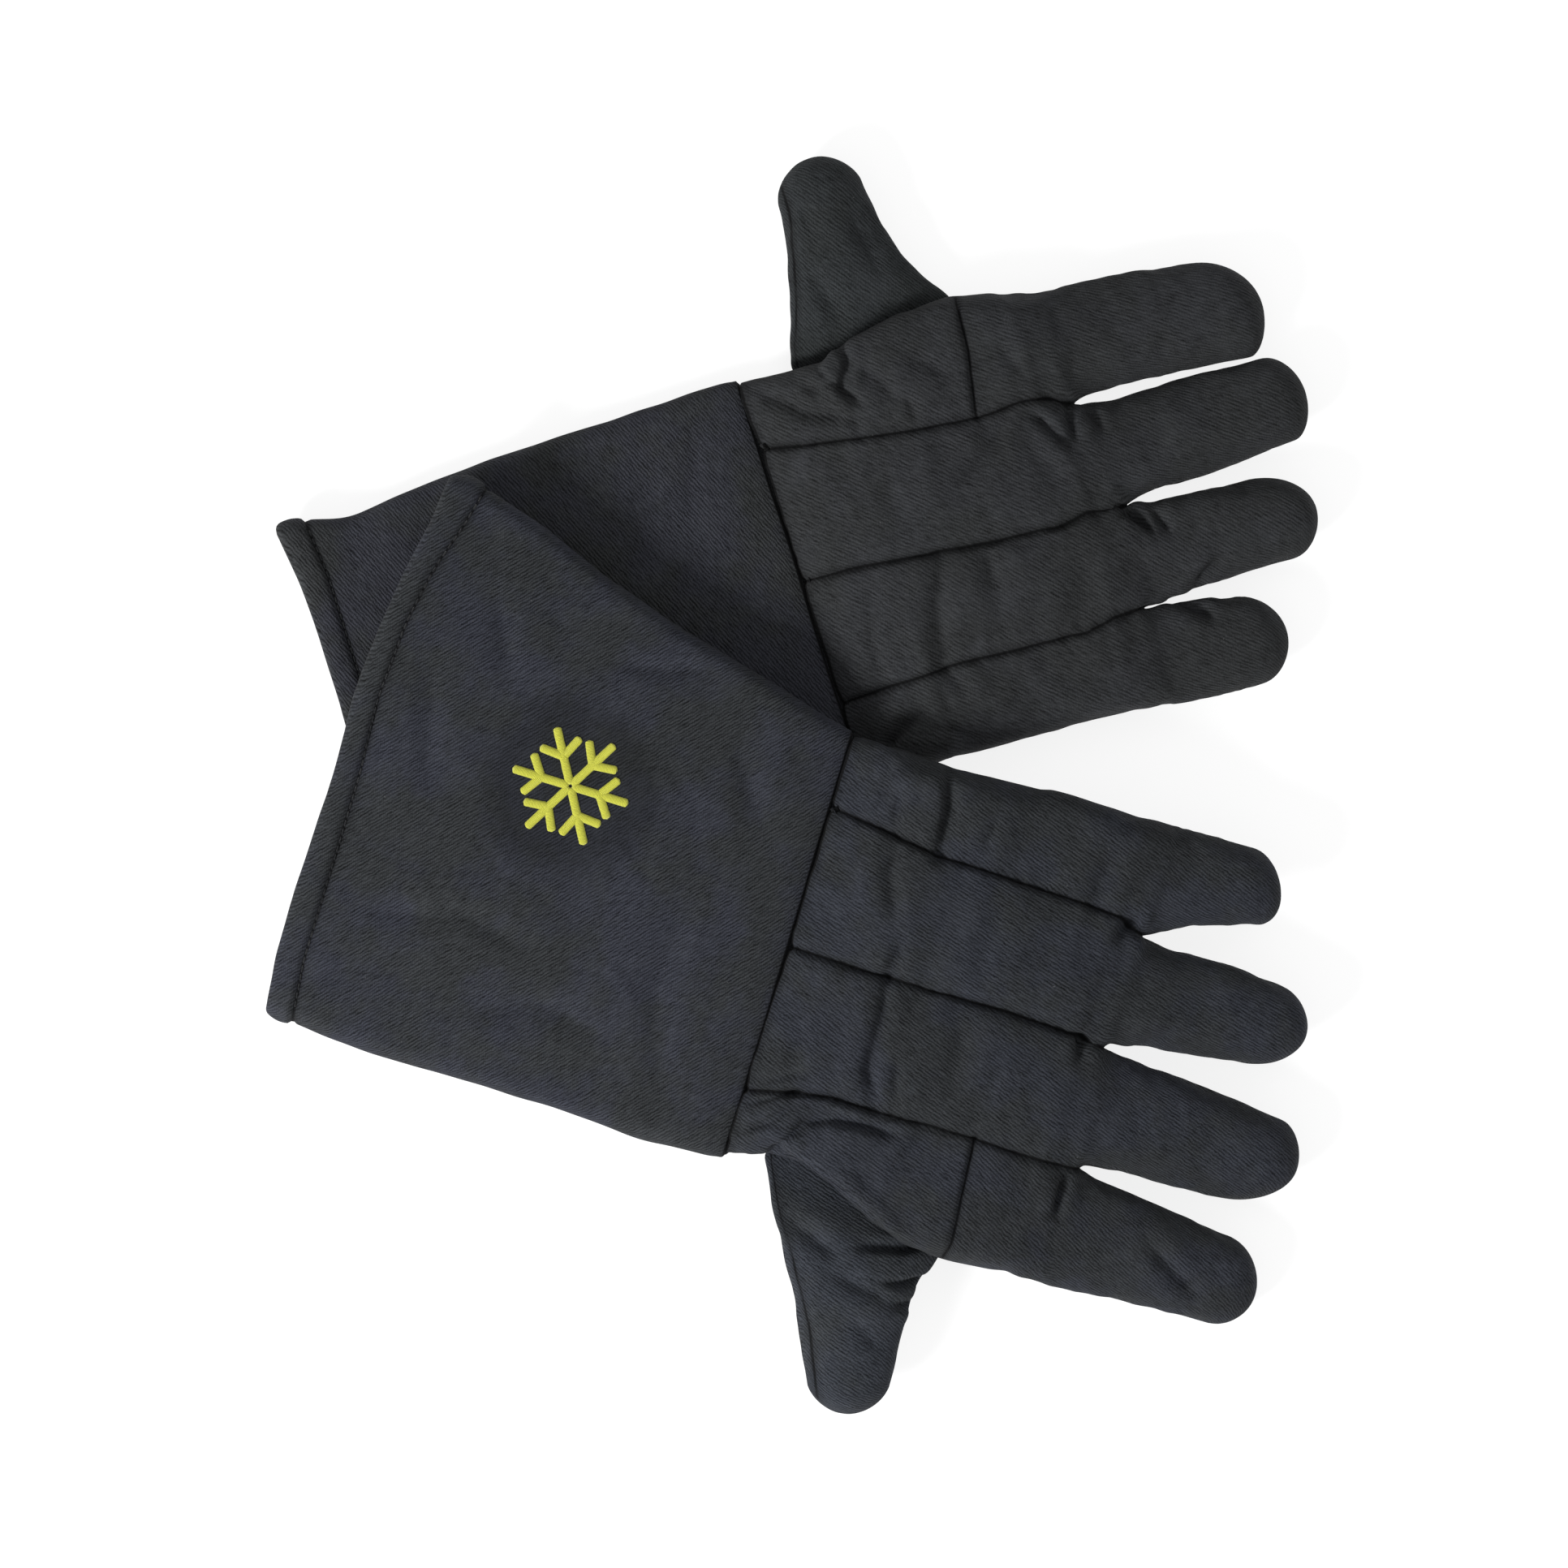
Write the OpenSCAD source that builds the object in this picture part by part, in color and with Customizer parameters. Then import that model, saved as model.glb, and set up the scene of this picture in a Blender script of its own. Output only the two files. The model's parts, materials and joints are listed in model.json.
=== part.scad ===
// A pair of insulated cryogenic gauntlet gloves, palms down, the left glove resting on the right.
// Millimetres, +Z up. The origin is the centre of the pair's footprint, on the surface it rests on.
// Each glove is drawn in its own frame: +X from the wrist seam to the fingers, +Y to the thumb side,
// Z = 0 at its underside. The left glove is that frame mirrored.

/* [Layers] */
// Thickness of the outer twill fabric
shell_t = 1.5; // [1:0.1:2]
// Thickness of the lining fabric
lining_t = 0.8; // [0.5:0.1:1.2]
// Clearance between neighbouring layers
layer_gap = 0.1; // [0.05:0.05:0.2]
// Height of the pocket between the two insulation sheets
pocket_t = 9; // [7:0.5:9.5]

/* [Cuff] */
// Length of the cuff, wrist seam to mouth
cuff_l = 184; // [140:1:240]
// Half width of the cuff at the wrist seam
wrist_half = 84; // [76:1:90]
// Reach of the cuff's mouth on the little-finger side
mouth_reach = 136; // [110:1:140]
// Reach of the cuff's mouth on the thumb side
mouth_side = 82; // [78:1:90]
// Thickness of the flattened cuff at its mouth
mouth_t = 22; // [20:0.5:24]
// Thickness of the glove at the wrist seam
wrist_t = 16; // [15.5:0.5:18]
// Width of the folded hem
hem_w = 10; // [6:0.5:16]
// How far the hem stands proud of the cuff
hem_proud = 0.7; // [0.4:0.1:1]

/* [Hand] */
// Thickness of the hand behind the knuckles
palm_t = 26; // [24:0.5:27]
// Width of the cut that marks a sewn seam in the back
seam_w = 0.4; // [0.2:0.1:0.8]
// Distance from the wrist seam to the cross seam in the index strip
cross_seam_x = 88; // [70:1:100]
// Offsets of the three lengthwise seams at the wrist, towards the thumb side
strip_y = [56, 2, -50]; // [-60:1:60]

/* [Digits] */
// Thickness of every finger and thumb
digit_t = 23; // [21:0.5:24]
// Share of a finger's length taken by its first segment
base_share = 0.46; // [0.42:0.01:0.5]
// Running clearance at the bends
bend_gap = 0.5; // [0.4:0.1:0.8]
// Width of a fingertip relative to the finger's root
tip_taper = 0.92; // [0.85:0.01:1]
// Width of the thumb at its root
thumb_w = 58; // [52:1:60]
// Width of the thumb's tip relative to its root
thumb_taper = 0.54; // [0.5:0.01:0.6]

/* [Right glove] */
// Index, middle, ring, little: distance of the bend at the root from the wrist seam
right_root_x = [123, 127, 128, 124]; // [100:1:150]
// Index, middle, ring, little: offset of the root towards the thumb side
right_root_y = [59, 13.5, -26.8, -66.4]; // [-80:0.1:80]
// Index, middle, ring, little: direction in degrees
right_aim = [-6, 0, -2.7, -7]; // [-10:0.1:10]
// Index, middle, ring, little: length from the root bend to the tip
right_reach = [77, 78, 67.5, 46.5]; // [40:0.5:90]
// Index, middle, ring, little: width at the root
right_width = [40.5, 38.5, 36, 36]; // [30:0.5:44]
// Thumb: bend distance from the wrist seam, offset, direction, length
right_thumb = [53, 96, 91, 59]; // [40:1:110]

/* [Left glove] */
// Index, middle, ring, little: distance of the bend at the root from the wrist seam
left_root_x = [134, 132, 131, 131]; // [100:1:150]
// Index, middle, ring, little: offset of the root towards the thumb side
left_root_y = [73.7, 27.4, -19.5, -64.5]; // [-80:0.1:80]
// Index, middle, ring, little: direction in degrees
left_aim = [1, -1, -3.7, -6]; // [-10:0.1:10]
// Index, middle, ring, little: length from the root bend to the tip
left_reach = [76.3, 79.5, 68.5, 43.5]; // [40:0.5:90]
// Index, middle, ring, little: width at the root
left_width = [42, 41, 38.5, 38.5]; // [30:0.5:44]
// Thumb: bend distance from the wrist seam, offset, direction, length
left_thumb = [53.5, 98, 76.5, 70]; // [40:1:110]

/* [Resting pose] */
// Place of the right glove's wrist seam
right_place = [3.9, 76.1, 0]; // [-100:0.1:100]
// Direction of the right glove in degrees
right_turn = 17.5; // [10:0.5:25]
// Place of the left glove's wrist seam
left_place = [-1.7, -60, 23]; // [-100:0.1:100]
// Direction of the left glove in degrees
left_turn = -16.7; // [-25:0.1:-10]
// Droop of the left hand from its cuff down to the surface, in degrees
left_droop = 6.3; // [5:0.1:6.5]
// Roll of the left hand towards its thumb, in degrees
left_roll = 3; // [0:0.1:4]

/* [Badge] */
// Centre of the badge on the left cuff
badge_at = [-97, -33]; // [-120:1:0]
// Span of the snowflake across its tips
badge_span = 46; // [30:1:60]
// Width of a satin-stitched bar
badge_bar = 3.4; // [2:0.2:5]
// Height of the embroidery
badge_t = 0.8; // [0.4:0.1:1.2]

/* [Hidden] */

FABRIC = "#2d2e37";
HAND_FABRIC = "#282a2a";
HEM_FABRIC = "#33343d";
BATTING = "#d8d4c6";
LINING = "#8b8f96";
THREAD = "#e1e13c";

ARC_STEPS = 6;      // facets in each rounded side
SLICE = 0.02;       // thickness of the slices that a hull joins
BIG = 400;          // larger than any glove
PAST = 1;           // how far a cutting solid runs past the end of what it cuts
WIDE = 5;           // how far a cutting layer runs past the sides
INDEX = 0;
MIDDLE = 1;
RING = 2;
LITTLE = 3;
THUMB = 4;

bend_margin = 0.3;                                  // a rounded root is this much larger than it need be
bend_r = digit_t / 2 + bend_margin;                 // radius of a finger segment's rounded root
wrist_bend_t = wrist_t + 2;                         // thickness of the hand at the wrist's bend
wrist_bend_r = wrist_bend_t / 2 + bend_margin;      // radius of the hand's rounded root
wrist_bend_x = wrist_bend_r + bend_gap;             // the wrist's bend, just past the seam
seam_x = 0.05;                                      // hand and cuff each stop this far from the seam
batting_in = shell_t + layer_gap;                   // depth of the insulation below the outside
lining_in = batting_in + 2.5;                       // depth of the lining's side below the outside
strip_seam_x = -5;                                  // the lengthwise seams are cut from here
cross_seam_lean = 3;                                // the cross seam leans this far to the fingertips
mouth_run = 10;                                     // the cuff's body runs this far past its mouth
mouth_flare = 3;                                    // and flares this much more on the way
lining_back = 1;                                    // the lining stops this far inside the mouth
batting_back = 2;                                   // and the insulation this far
badge_gap = 0.15;                                   // thread's clearance above the cuff
badge_branch = [0.5, 55, 0.42];                     // place, angle and length of a side branch

// Shape of the cuff's mouth: [how far its edge is set back, offset to the thumb side]
mouth_edge = [[0, -20], [2, -86], [15, -136], [35, -213]];

// A fingertip's rounding: its length as a share of the width, the stations round it, and how
// fullness of width and thickness fall off
tip_round = 0.55;
tip_stations = [0, 25, 45, 63, 77, 86];
tip_width_power = 0.75;
tip_height_power = 0.7;

// ---- Outlines -------------------------------------------------------------------------------

// A flat oval of width w and height t, centred on the origin
function oval(w, t) = [
    for (side = [0, 1], k = [0 : ARC_STEPS])
        let (a = side * 180 - 90 + k * 180 / ARC_STEPS)
            [(1 - 2 * side) * (w - t) / 2 + t / 2 * cos(a), t / 2 * sin(a)]
];

// A thin oval slice across +X at x, from y0 to y1, with its centre at height z
module slice(x, y0, y1, t, z) {
    translate([x, (y0 + y1) / 2, z])
        rotate([90, 0, 90])
            linear_extrude(SLICE)
                polygon(oval(y1 - y0, t));
}

// Sections are [x, y0, y1, t] and stand on the glove's underside. The first and last section can
// be pushed outwards by `past`, so that an inner solid opens the ends of the outer one.
function spread(sections, past) = [
    for (i = [0 : len(sections) - 1])
        let (s = sections[i], push = i == 0 ? -past : i == len(sections) - 1 ? past : 0)
            [s[0] + push, s[1], s[2], s[3]]
];

// The body of a glove part, smaller by `inset` all round
module body(sections, inset = 0, past = 0) {
    hull()
        for (s = spread(sections, past))
            slice(s[0], s[1] + inset, s[2] - inset, s[3] - 2 * inset, s[3] / 2);
}

// The layer of height h at half the thickness, wider than the glove by `wide` on each side
module middle_layer(sections, h, wide, past = PAST) {
    hull()
        for (s = spread(sections, past))
            translate([s[0], s[1] - wide, (s[3] - h) / 2])
                cube([SLICE, s[2] - s[1] + 2 * wide, h]);
}

// A flat sleeve of lining between the insulation sheets
module sleeve(sections, past) {
    difference() {
        middle_layer(sections, pocket_t, -lining_in, 0);
        middle_layer(sections, pocket_t - 2 * lining_t, -lining_in - lining_t, past);
    }
}

// Outside fabric between the body and its inset
module skin(sections) {
    difference() {
        body(sections);
        body(sections, shell_t, PAST);
    }
}

// Two quilted sheets, above and below the pocket
module sheets(sections, past = 0) {
    difference() {
        body(sections, batting_in, past);
        middle_layer(sections, pocket_t + 2 * layer_gap, WIDE);
    }
}

// ---- Bends ----------------------------------------------------------------------------------

// Profile, in the XZ plane, of what a parent loses so that its child can bend down at the origin
function socket_points(r) = concat(
    [for (k = [0 : ARC_STEPS]) let (a = 90 + k * 90 / ARC_STEPS) [r * cos(a), r * sin(a)]],
    [[-r, -BIG], [BIG, -BIG], [BIG, BIG], [0, BIG]]
);

// Profile, in the XZ plane, of what a child keeps: all beyond the bend, and a rounded root
function root_points(r) = concat(
    [for (k = [0 : 2 * ARC_STEPS]) let (a = 90 + k * 90 / ARC_STEPS) [r * cos(a), r * sin(a)]],
    [[0, -BIG / 2], [BIG, -BIG / 2], [BIG, BIG / 2], [0, BIG / 2]]
);

// A profile in the XZ plane, drawn out along Y to a total width w
module across(points, w) {
    translate([0, w / 2, 0])
        rotate([90, 0, 0])
            linear_extrude(w)
                polygon(points);
}

// ---- Digits ---------------------------------------------------------------------------------

// A digit is [x, y, aim, reach, width, taper] in the glove's frame
function fingers(x, y, aim, reach, w) = [
    for (i = [INDEX : LITTLE])
        [x[i], y[i], aim[i], reach[i], w[i], tip_taper]
];
function thumb(t) = concat(t, [thumb_w, thumb_taper]);
function base_l(d) = d[3] * base_share;
function tip_l(d) = d[3] - base_l(d);
function bend_w(d) = d[4] * (1 + d[5]) / 2;

right_digits = concat(
    fingers(right_root_x, right_root_y, right_aim, right_reach, right_width),
    [thumb(right_thumb)]
);
left_digits = concat(
    fingers(left_root_x, left_root_y, left_aim, left_reach, left_width),
    [thumb(left_thumb)]
);

// Places children at a digit's root bend
module at_root(d) {
    translate([d[0], d[1], digit_t / 2])
        rotate([0, 0, d[2]])
            children();
}

// Places children at a digit's middle bend
module at_bend(d) {
    at_root(d)
        translate([base_l(d), 0, 0])
            children();
}

// A digit's slice of width w at x
module digit_slice(x, w, t) {
    slice(x, -w / 2, w / 2, t, 0);
}

// First segment: a tapering flat oval, open at both ends
module base_body(d, inset, past) {
    growth = (bend_w(d) - d[4]) / (base_l(d) + bend_r);
    t = digit_t - 2 * inset;
    hull() {
        digit_slice(-bend_r - past, d[4] - 2 * inset - growth * past, t);
        digit_slice(base_l(d) + past, bend_w(d) - 2 * inset + growth * past, t);
    }
}

// Second segment: tapers, then rounds off to a closed tip
module tip_body(d, inset, past) {
    w0 = bend_w(d) - 2 * inset;
    w1 = d[4] * d[5] - 2 * inset;
    t = digit_t - 2 * inset;
    round_l = w1 * tip_round;
    straight_l = tip_l(d) - inset - round_l;
    growth = (w1 - w0) / (straight_l + bend_r);
    hull() {
        digit_slice(-bend_r - past, w0 - growth * past, t);
        for (a = tip_stations)
            digit_slice(
                straight_l + round_l * sin(a),
                w1 * pow(cos(a), tip_width_power),
                t * pow(cos(a), tip_height_power)
            );
    }
}

module base_shell(d) {
    at_root(d) difference() {
        intersection() {
            base_body(d, 0, 0);
            across(root_points(bend_r), BIG);
        }
        base_body(d, shell_t, PAST);
        translate([base_l(d), 0, 0])
            across(socket_points(bend_r + bend_gap), BIG);
    }
}

module base_padding(d) {
    at_root(d) difference() {
        intersection() {
            base_body(d, batting_in, 0);
            across(root_points(bend_r), BIG);
        }
        cube([BIG, BIG, pocket_t], center = true);
        translate([base_l(d), 0, 0])
            across(socket_points(bend_r + bend_gap), BIG);
    }
}

module tip_shell(d) {
    at_bend(d) difference() {
        intersection() {
            tip_body(d, 0, 0);
            across(root_points(bend_r), BIG);
        }
        tip_body(d, shell_t, PAST);
    }
}

module tip_padding(d) {
    at_bend(d) difference() {
        intersection() {
            tip_body(d, batting_in, 0);
            across(root_points(bend_r), BIG);
        }
        cube([BIG, BIG, pocket_t], center = true);
    }
}

// ---- Hand -----------------------------------------------------------------------------------

// Sections of each hand, as in spread()
right_hand = [
    [seam_x, -wrist_half, wrist_half, wrist_t],
    [45, -83, 86, palm_t - 1],
    [86, -84, 90, palm_t],
    [130, -86, 82, digit_t],
];
left_hand = [
    [seam_x, -wrist_half, wrist_half, wrist_t],
    [45, -85, 90, palm_t - 1],
    [88, -86, 99, palm_t],
    [135, -86, 96, digit_t],
];

// What the hand loses at its bends: the wrist's rounded root and a socket for each digit
module hand_bends(digits) {
    finger_room = 4;
    thumb_room = 2;
    for (i = [0 : len(digits) - 1]) {
        room = i == THUMB ? thumb_room : finger_room;
        at_root(digits[i])
            across(socket_points(bend_r + bend_gap), digits[i][4] + 2 * room);
    }
    difference() {
        translate([-PAST, -BIG / 2, -PAST])
            cube([wrist_bend_x + PAST, BIG, palm_t * 2]);
        translate([wrist_bend_x, 0, wrist_bend_t / 2])
            across(root_points(wrist_bend_r), BIG);
    }
}

// Passage from the hand's pocket into the thumb
module thumb_passage(d, h) {
    depth = 30;
    rim = 10;
    at_root(d)
        translate([-depth, -d[4] / 2 + rim, (palm_t - digit_t) / 2 - h / 2])
            cube([depth, d[4] - 2 * rim, h]);
}

module palm_panel(sections, digits) {
    difference() {
        skin(sections);
        hand_bends(digits);
        middle_layer(sections, layer_gap, WIDE);
        translate([0, 0, BIG / 2])
            middle_layer(sections, BIG, WIDE);
        thumb_passage(digits[THUMB], pocket_t);
    }
}

// A seam cut between two places on the back
module seam(a, b) {
    hull() {
        translate([a[0], a[1], 0])
            cylinder(h = BIG, d = seam_w, $fn = 6);
        translate([b[0], b[1], 0])
            cylinder(h = BIG, d = seam_w, $fn = 6);
    }
}

// The web between two neighbouring fingers
function web(a, b) = [(a[0] + b[0]) / 2, (a[1] - a[4] / 2 + b[1] + b[4] / 2) / 2];

// The point at x on the seam between the index strip and the middle strip
function on_seam(digits, x) =
    let (end = web(digits[INDEX], digits[MIDDLE]))
        [x, strip_y[0] + (end[1] - strip_y[0]) * (x - strip_seam_x) / (end[0] - strip_seam_x)];

module back_strips(sections, digits) {
    difference() {
        skin(sections);
        hand_bends(digits);
        translate([0, 0, -BIG / 2])
            middle_layer(sections, BIG, WIDE);
        thumb_passage(digits[THUMB], pocket_t);
        for (i = [0 : LITTLE - 1])
            seam([strip_seam_x, strip_y[i]], web(digits[i], digits[i + 1]));
        seam(on_seam(digits, cross_seam_x), [cross_seam_x + cross_seam_lean, BIG / 3]);
    }
}

module hand_batting(sections, digits) {
    difference() {
        sheets(sections);
        hand_bends(digits);
    }
}

module hand_lining(sections, digits) {
    difference() {
        sleeve(sections, PAST);
        hand_bends(digits);
        thumb_passage(digits[THUMB], pocket_t - 2 * lining_t);
    }
}

// ---- Cuff -----------------------------------------------------------------------------------

cuff_sections = [
    [-cuff_l - mouth_run, -mouth_reach - mouth_flare, mouth_side, mouth_t],
    [-seam_x, -wrist_half, wrist_half, wrist_t],
];

// The plan of the cuff from `wrist` to a line that runs `back` from the mouth's edge
module mouth_plan(back, wrist = PAST) {
    x = -cuff_l + back;
    far_y = mouth_edge[len(mouth_edge) - 1][1];
    translate([0, 0, -PAST])
        linear_extrude(BIG)
            polygon(concat(
                [[wrist, far_y], [wrist, BIG], [x, BIG]],
                [for (e = mouth_edge) [x + e[0], e[1]]]
            ));
}

module cuff_shell() {
    intersection() {
        skin(cuff_sections);
        mouth_plan(hem_w + layer_gap);
    }
}

module cuff_hem() {
    difference() {
        intersection() {
            body(cuff_sections, -hem_proud);
            mouth_plan(0);
        }
        mouth_plan(hem_w);
        body(cuff_sections, shell_t, PAST);
        translate([0, 0, -BIG])
            linear_extrude(BIG)
                square(2 * BIG, center = true);
    }
}

module cuff_batting() {
    intersection() {
        sheets(cuff_sections, PAST);
        mouth_plan(batting_back, -seam_x);
    }
}

module cuff_lining() {
    intersection() {
        sleeve(cuff_sections, PAST);
        mouth_plan(lining_back);
    }
}

// A six-armed snowflake standing for cold, embroidered as satin bars
module cuff_badge() {
    arm = badge_span / 2;
    run = cuff_l + mouth_run;
    slope = atan((mouth_t - wrist_t) / run);
    top = wrist_t - (mouth_t - wrist_t) * badge_at[0] / run;
    translate([badge_at[0], badge_at[1], top + badge_gap])
        rotate([0, slope, 0])
            linear_extrude(badge_t)
                for (a = [0 : 60 : 300])
                    rotate(a) {
                        satin_bar(arm);
                        for (side = [-1, 1])
                            translate([arm * badge_branch[0], 0])
                                rotate(side * badge_branch[1])
                                    satin_bar(arm * badge_branch[2]);
                    }
}

module satin_bar(l) {
    translate([0, -badge_bar / 2])
        square([l, badge_bar]);
}

// ---- Placing --------------------------------------------------------------------------------

module right() {
    translate(right_place)
        rotate([0, 0, right_turn])
            children();
}

module left() {
    translate(left_place)
        rotate([0, 0, left_turn])
            mirror([0, 1, 0])
                children();
}

// The left hand droops from its cuff about the wrist's bend
module left_drooped() {
    left()
        translate([wrist_bend_x, 0, wrist_bend_t / 2])
            rotate([-left_roll, left_droop, 0])
                translate([-wrist_bend_x, 0, -wrist_bend_t / 2])
                    children();
}

// ---- Sub-parts ------------------------------------------------------------------------------

module right_cuff_shell() { color(FABRIC) right() cuff_shell(); }
module right_cuff_hem() { color(HEM_FABRIC) right() cuff_hem(); }
module right_cuff_batting() { color(BATTING) right() cuff_batting(); }
module right_cuff_lining() { color(LINING) right() cuff_lining(); }
module right_back_strips() { color(HAND_FABRIC) right() back_strips(right_hand, right_digits); }
module right_palm_panel() { color(HAND_FABRIC) right() palm_panel(right_hand, right_digits); }
module right_hand_batting() { color(BATTING) right() hand_batting(right_hand, right_digits); }
module right_hand_lining() { color(LINING) right() hand_lining(right_hand, right_digits); }

module left_cuff_shell() { color(FABRIC) left() cuff_shell(); }
module left_cuff_hem() { color(HEM_FABRIC) left() cuff_hem(); }
module left_cuff_batting() { color(BATTING) left() cuff_batting(); }
module left_cuff_lining() { color(LINING) left() cuff_lining(); }
module left_cuff_badge() { color(THREAD) left() cuff_badge(); }
module left_back_strips() { color(HAND_FABRIC) left_drooped() back_strips(left_hand, left_digits); }
module left_palm_panel() { color(HAND_FABRIC) left_drooped() palm_panel(left_hand, left_digits); }
module left_hand_batting() { color(BATTING) left_drooped() hand_batting(left_hand, left_digits); }
module left_hand_lining() { color(LINING) left_drooped() hand_lining(left_hand, left_digits); }

module right_index_base_shell() { color(HAND_FABRIC) right() base_shell(right_digits[INDEX]); }
module right_index_base_padding() { color(BATTING) right() base_padding(right_digits[INDEX]); }
module right_index_tip_shell() { color(HAND_FABRIC) right() tip_shell(right_digits[INDEX]); }
module right_index_tip_padding() { color(BATTING) right() tip_padding(right_digits[INDEX]); }
module right_middle_base_shell() { color(HAND_FABRIC) right() base_shell(right_digits[MIDDLE]); }
module right_middle_base_padding() { color(BATTING) right() base_padding(right_digits[MIDDLE]); }
module right_middle_tip_shell() { color(HAND_FABRIC) right() tip_shell(right_digits[MIDDLE]); }
module right_middle_tip_padding() { color(BATTING) right() tip_padding(right_digits[MIDDLE]); }
module right_ring_base_shell() { color(HAND_FABRIC) right() base_shell(right_digits[RING]); }
module right_ring_base_padding() { color(BATTING) right() base_padding(right_digits[RING]); }
module right_ring_tip_shell() { color(HAND_FABRIC) right() tip_shell(right_digits[RING]); }
module right_ring_tip_padding() { color(BATTING) right() tip_padding(right_digits[RING]); }
module right_little_base_shell() { color(HAND_FABRIC) right() base_shell(right_digits[LITTLE]); }
module right_little_base_padding() { color(BATTING) right() base_padding(right_digits[LITTLE]); }
module right_little_tip_shell() { color(HAND_FABRIC) right() tip_shell(right_digits[LITTLE]); }
module right_little_tip_padding() { color(BATTING) right() tip_padding(right_digits[LITTLE]); }
module right_thumb_base_shell() { color(HAND_FABRIC) right() base_shell(right_digits[THUMB]); }
module right_thumb_base_padding() { color(BATTING) right() base_padding(right_digits[THUMB]); }
module right_thumb_tip_shell() { color(HAND_FABRIC) right() tip_shell(right_digits[THUMB]); }
module right_thumb_tip_padding() { color(BATTING) right() tip_padding(right_digits[THUMB]); }

module left_index_base_shell() { color(HAND_FABRIC) left_drooped() base_shell(left_digits[INDEX]); }
module left_index_base_padding() { color(BATTING) left_drooped() base_padding(left_digits[INDEX]); }
module left_index_tip_shell() { color(HAND_FABRIC) left_drooped() tip_shell(left_digits[INDEX]); }
module left_index_tip_padding() { color(BATTING) left_drooped() tip_padding(left_digits[INDEX]); }
module left_middle_base_shell() { color(HAND_FABRIC) left_drooped() base_shell(left_digits[MIDDLE]); }
module left_middle_base_padding() { color(BATTING) left_drooped() base_padding(left_digits[MIDDLE]); }
module left_middle_tip_shell() { color(HAND_FABRIC) left_drooped() tip_shell(left_digits[MIDDLE]); }
module left_middle_tip_padding() { color(BATTING) left_drooped() tip_padding(left_digits[MIDDLE]); }
module left_ring_base_shell() { color(HAND_FABRIC) left_drooped() base_shell(left_digits[RING]); }
module left_ring_base_padding() { color(BATTING) left_drooped() base_padding(left_digits[RING]); }
module left_ring_tip_shell() { color(HAND_FABRIC) left_drooped() tip_shell(left_digits[RING]); }
module left_ring_tip_padding() { color(BATTING) left_drooped() tip_padding(left_digits[RING]); }
module left_little_base_shell() { color(HAND_FABRIC) left_drooped() base_shell(left_digits[LITTLE]); }
module left_little_base_padding() { color(BATTING) left_drooped() base_padding(left_digits[LITTLE]); }
module left_little_tip_shell() { color(HAND_FABRIC) left_drooped() tip_shell(left_digits[LITTLE]); }
module left_little_tip_padding() { color(BATTING) left_drooped() tip_padding(left_digits[LITTLE]); }
module left_thumb_base_shell() { color(HAND_FABRIC) left_drooped() base_shell(left_digits[THUMB]); }
module left_thumb_base_padding() { color(BATTING) left_drooped() base_padding(left_digits[THUMB]); }
module left_thumb_tip_shell() { color(HAND_FABRIC) left_drooped() tip_shell(left_digits[THUMB]); }
module left_thumb_tip_padding() { color(BATTING) left_drooped() tip_padding(left_digits[THUMB]); }

right_cuff_shell();
right_cuff_hem();
right_cuff_batting();
right_cuff_lining();
right_back_strips();
right_palm_panel();
right_hand_batting();
right_hand_lining();
left_cuff_shell();
left_cuff_hem();
left_cuff_batting();
left_cuff_lining();
left_cuff_badge();
left_back_strips();
left_palm_panel();
left_hand_batting();
left_hand_lining();
right_index_base_shell();
right_index_base_padding();
right_index_tip_shell();
right_index_tip_padding();
right_middle_base_shell();
right_middle_base_padding();
right_middle_tip_shell();
right_middle_tip_padding();
right_ring_base_shell();
right_ring_base_padding();
right_ring_tip_shell();
right_ring_tip_padding();
right_little_base_shell();
right_little_base_padding();
right_little_tip_shell();
right_little_tip_padding();
right_thumb_base_shell();
right_thumb_base_padding();
right_thumb_tip_shell();
right_thumb_tip_padding();
left_index_base_shell();
left_index_base_padding();
left_index_tip_shell();
left_index_tip_padding();
left_middle_base_shell();
left_middle_base_padding();
left_middle_tip_shell();
left_middle_tip_padding();
left_ring_base_shell();
left_ring_base_padding();
left_ring_tip_shell();
left_ring_tip_padding();
left_little_base_shell();
left_little_base_padding();
left_little_tip_shell();
left_little_tip_padding();
left_thumb_base_shell();
left_thumb_base_padding();
left_thumb_tip_shell();
left_thumb_tip_padding();
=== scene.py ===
"""Looks for the pair of padded gauntlet gloves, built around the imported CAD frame.

Each glove is drawn in its own coordinates, in millimetres: u runs from the wrist seam to the
fingers, v to the thumb side and w up from the glove's underside. Glove.place() turns those into
metres in the row frame.
"""
import json
import math

import bmesh
import bpy
import numpy as np
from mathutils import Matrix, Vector, noise
from mathutils.bvhtree import BVHTree


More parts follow.
